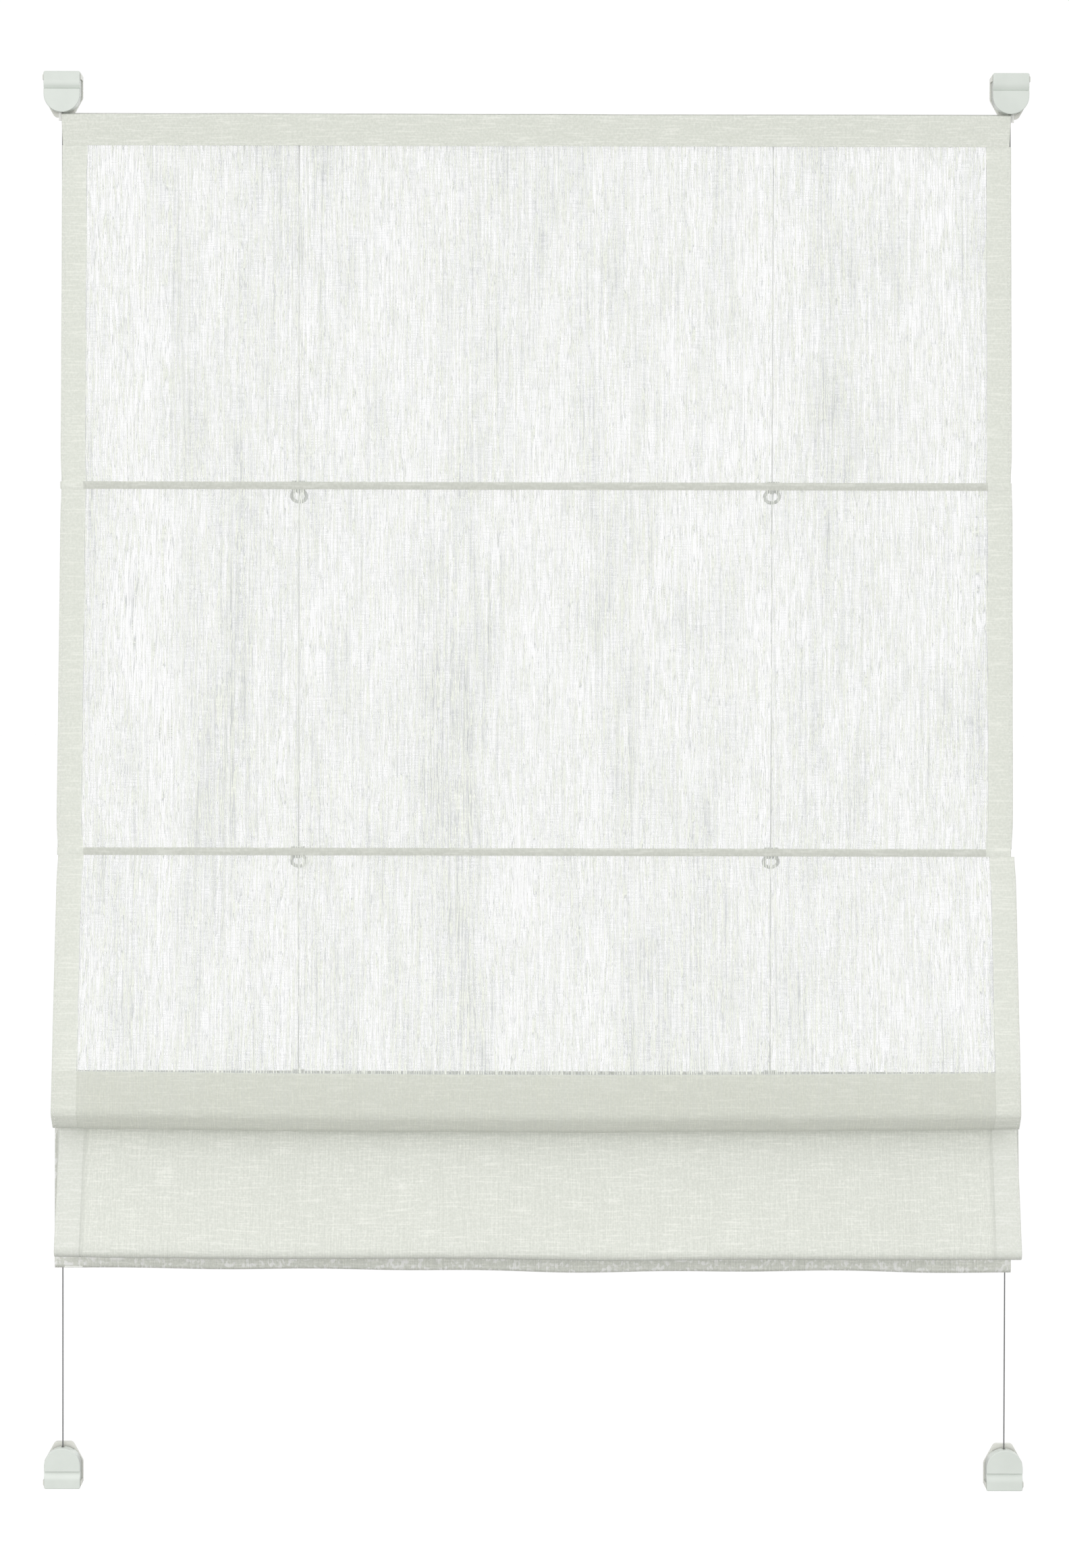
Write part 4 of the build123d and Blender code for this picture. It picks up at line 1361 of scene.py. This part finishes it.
        self.folded_panel(3, heights[1], heights[2], 0.060, -0.8754,
                          ClothEdges((0.4034, 0.3980), (0.4060, 0.4012), (0.0010, 0.0)), 0.625, 0.30, upper_sag,
                          crease=(0.0095, 0.0135), cloth=Cloths.FOLD_FRONT)
        self.folded_panel(4, heights[2], heights[3], 0.050, -0.9843,
                          ClothEdges((0.3955, 0.4020), (0.4024, 0.4086)), 0.934, 1.0, lower_sag,
                          cloth=Cloths.FOLDED)
        widths = [(0.4000, 0.4012), (0.4032, 0.4022), (0.4018, 0.4018), (0.4018, 0.4018)]
        for number, (z, half) in enumerate(zip(heights, widths), start=1):
            start = 0.3127 + STAY_PITCH * (number - 1)
            StayPocket(number, z, half, start, self.cloth_mid_y, 0.5 * sum(
                corner[1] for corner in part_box(f"stay_{number}_rod"))).build()
        low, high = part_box("cloth_flap")
        BottomHem(below[3], low[2], low[1], high[1],
                  ClothEdges((0.4050, 0.4056), (0.4020, 0.4042)), 1.243).build()

    def string_cords(self) -> None:
        """Makes the lift cords' spans between the rail and the rings."""
        cords = LiftCords()
        bodies = ["root", "stay_1", "stay_2", "stay_3", "stay_4"]
        low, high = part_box("lift_cords_1")
        x = high[0] - 0.0005
        top = Vector((x, low[1] + 0.0005, high[2]))
        ring_y = high[1] - 0.0005
        for number in range(1, 5):
            low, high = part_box(f"lift_cords_{number}")
            end = Vector((x, ring_y, low[2]))
            cords.span(number, (bodies[number - 1], bodies[number]), top, end)
            top = end

    def build(self) -> None:
        """Dresses the frame and makes the cloth and cords."""
        self.dress_frame()
        self.hang_cloth()
        self.string_cords()


# ---------------------------------------------------------------- studio


@dataclass
class Studio:
    """Pale floor, soft light and the camera."""

    floor_z: float = -2.1
    distance: float = 2.600
    eye_z: float = -0.394
    eye_x: float = -0.0016
    tilt: float = 0.93
    roll: float = 0.13
    lens: float = 70.77
    shift: tuple[float, float] = (0.0007, -0.1180)

    def floor(self) -> None:
        """A wide pale floor that only the camera sees."""
        bm = bmesh.new()
        bmesh.ops.create_circle(bm, cap_ends=True, segments=96, radius=26.0,
                                matrix=Matrix.Translation((0.0, 0.0, self.floor_z)))
        graph = Graph(bpy.data.materials.new("pale_floor"))
        pale = graph.node("ShaderNodeBsdfDiffuse", None, {"Color": (0.99, 0.99, 0.99)})
        nothing = graph.node("ShaderNodeBsdfTransparent")
        under = graph.node("ShaderNodeNewGeometry").outputs["Backfacing"]
        finish = graph.finish(graph.layered(under, pale, nothing))
        mesh = bpy.data.meshes.new("floor")
        bm.to_mesh(mesh)
        bm.free()
        mesh.materials.append(finish)
        floor = bpy.data.objects.new("floor", mesh)
        for ray in ("diffuse", "glossy", "transmission", "shadow"):
            setattr(floor, f"visible_{ray}", False)
        bpy.context.scene.collection.objects.link(floor)

    def sky(self) -> None:
        """Soft light from all round, weaker from the floor."""
        world = bpy.data.worlds.new("soft_studio")
        bpy.context.scene.world = world
        graph = Graph(world)
        height = graph.axis(graph.node("ShaderNodeTexCoord").outputs["Generated"], "Z")
        spread = graph.value("ShaderNodeMapRange", None, {"Value": height, "From Min": -1.0, "From Max": 1.0})
        ramp = graph.node("ShaderNodeValToRGB", None, {"Fac": spread})
        stops = ramp.color_ramp.elements
        stops[0].position, stops[0].color = 0.0, (0.215, 0.215, 0.203, 1.0)
        stops[1].position, stops[1].color = 1.0, (0.68, 0.68, 0.68, 1.0)
        for position, tone in ((0.28, 0.32), (0.41, 0.68), (0.56, 0.68)):
            stops.new(position).color = (tone, tone, tone, 1.0)
        light = graph.node("ShaderNodeBackground", None, {"Color": ramp.outputs["Color"], "Strength": 1.5})
        graph.node("ShaderNodeOutputWorld", None, {"Surface": light.outputs[0]})

    def lamp(self, name: str, place: Vector, aim: Vector, size: float, power: float) -> None:
        """A square soft lamp.

        Args:
            name: Its name.
            place: Where it stands.
            aim: What it points at.
            size: Its side, in metres.
            power: Its power, in watts.
        """
        data = bpy.data.lights.new(name, "AREA")
        data.size = size
        data.energy = power
        lamp = bpy.data.objects.new(name, data)
        lamp.location = place
        lamp.rotation_euler = (aim - place).to_track_quat("-Z", "Y").to_euler()
        bpy.context.scene.collection.objects.link(lamp)

    def camera(self) -> None:
        """The camera, level with the blind's upper third and facing it."""
        data = bpy.data.cameras.new("camera")
        data.lens = self.lens
        data.sensor_width = 36.0
        data.shift_x, data.shift_y = self.shift
        data.clip_end = 90.0
        camera = bpy.data.objects.new("camera", data)
        camera.location = (self.eye_x, -0.011 - self.distance, self.eye_z)
        pitched = Matrix.Rotation(math.radians(90.0 - self.tilt), 4, "X")
        camera.rotation_euler = (pitched @ Matrix.Rotation(math.radians(self.roll), 4, "Z")).to_euler()
        bpy.context.scene.collection.objects.link(camera)
        bpy.context.scene.camera = camera

    def build(self) -> None:
        """Sets up the floor, light, camera and view."""
        scene = bpy.context.scene
        scene.view_settings.view_transform = "Standard"
        scene.cycles.transparent_max_bounces = 32
        scene.cycles.max_bounces = 10
        self.floor()
        self.sky()
        middle = Vector((0.0, 0.0, -0.6))
        self.lamp("key", Vector((-0.4, -3.2, -0.62)), middle, 2.2, 36.0)
        self.lamp("back", Vector((1.0, 2.6, 0.3)), middle, 2.0, 8.0)
        self.camera()


def main() -> None:
    """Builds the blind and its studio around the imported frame."""
    logging.basicConfig(level=logging.INFO, format="%(name)s: %(message)s")
    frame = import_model()
    RomanBlind(frame).build()
    Studio().build()
    bpy.context.view_layer.update()
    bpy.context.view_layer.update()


if __name__ == "__main__":
    main()
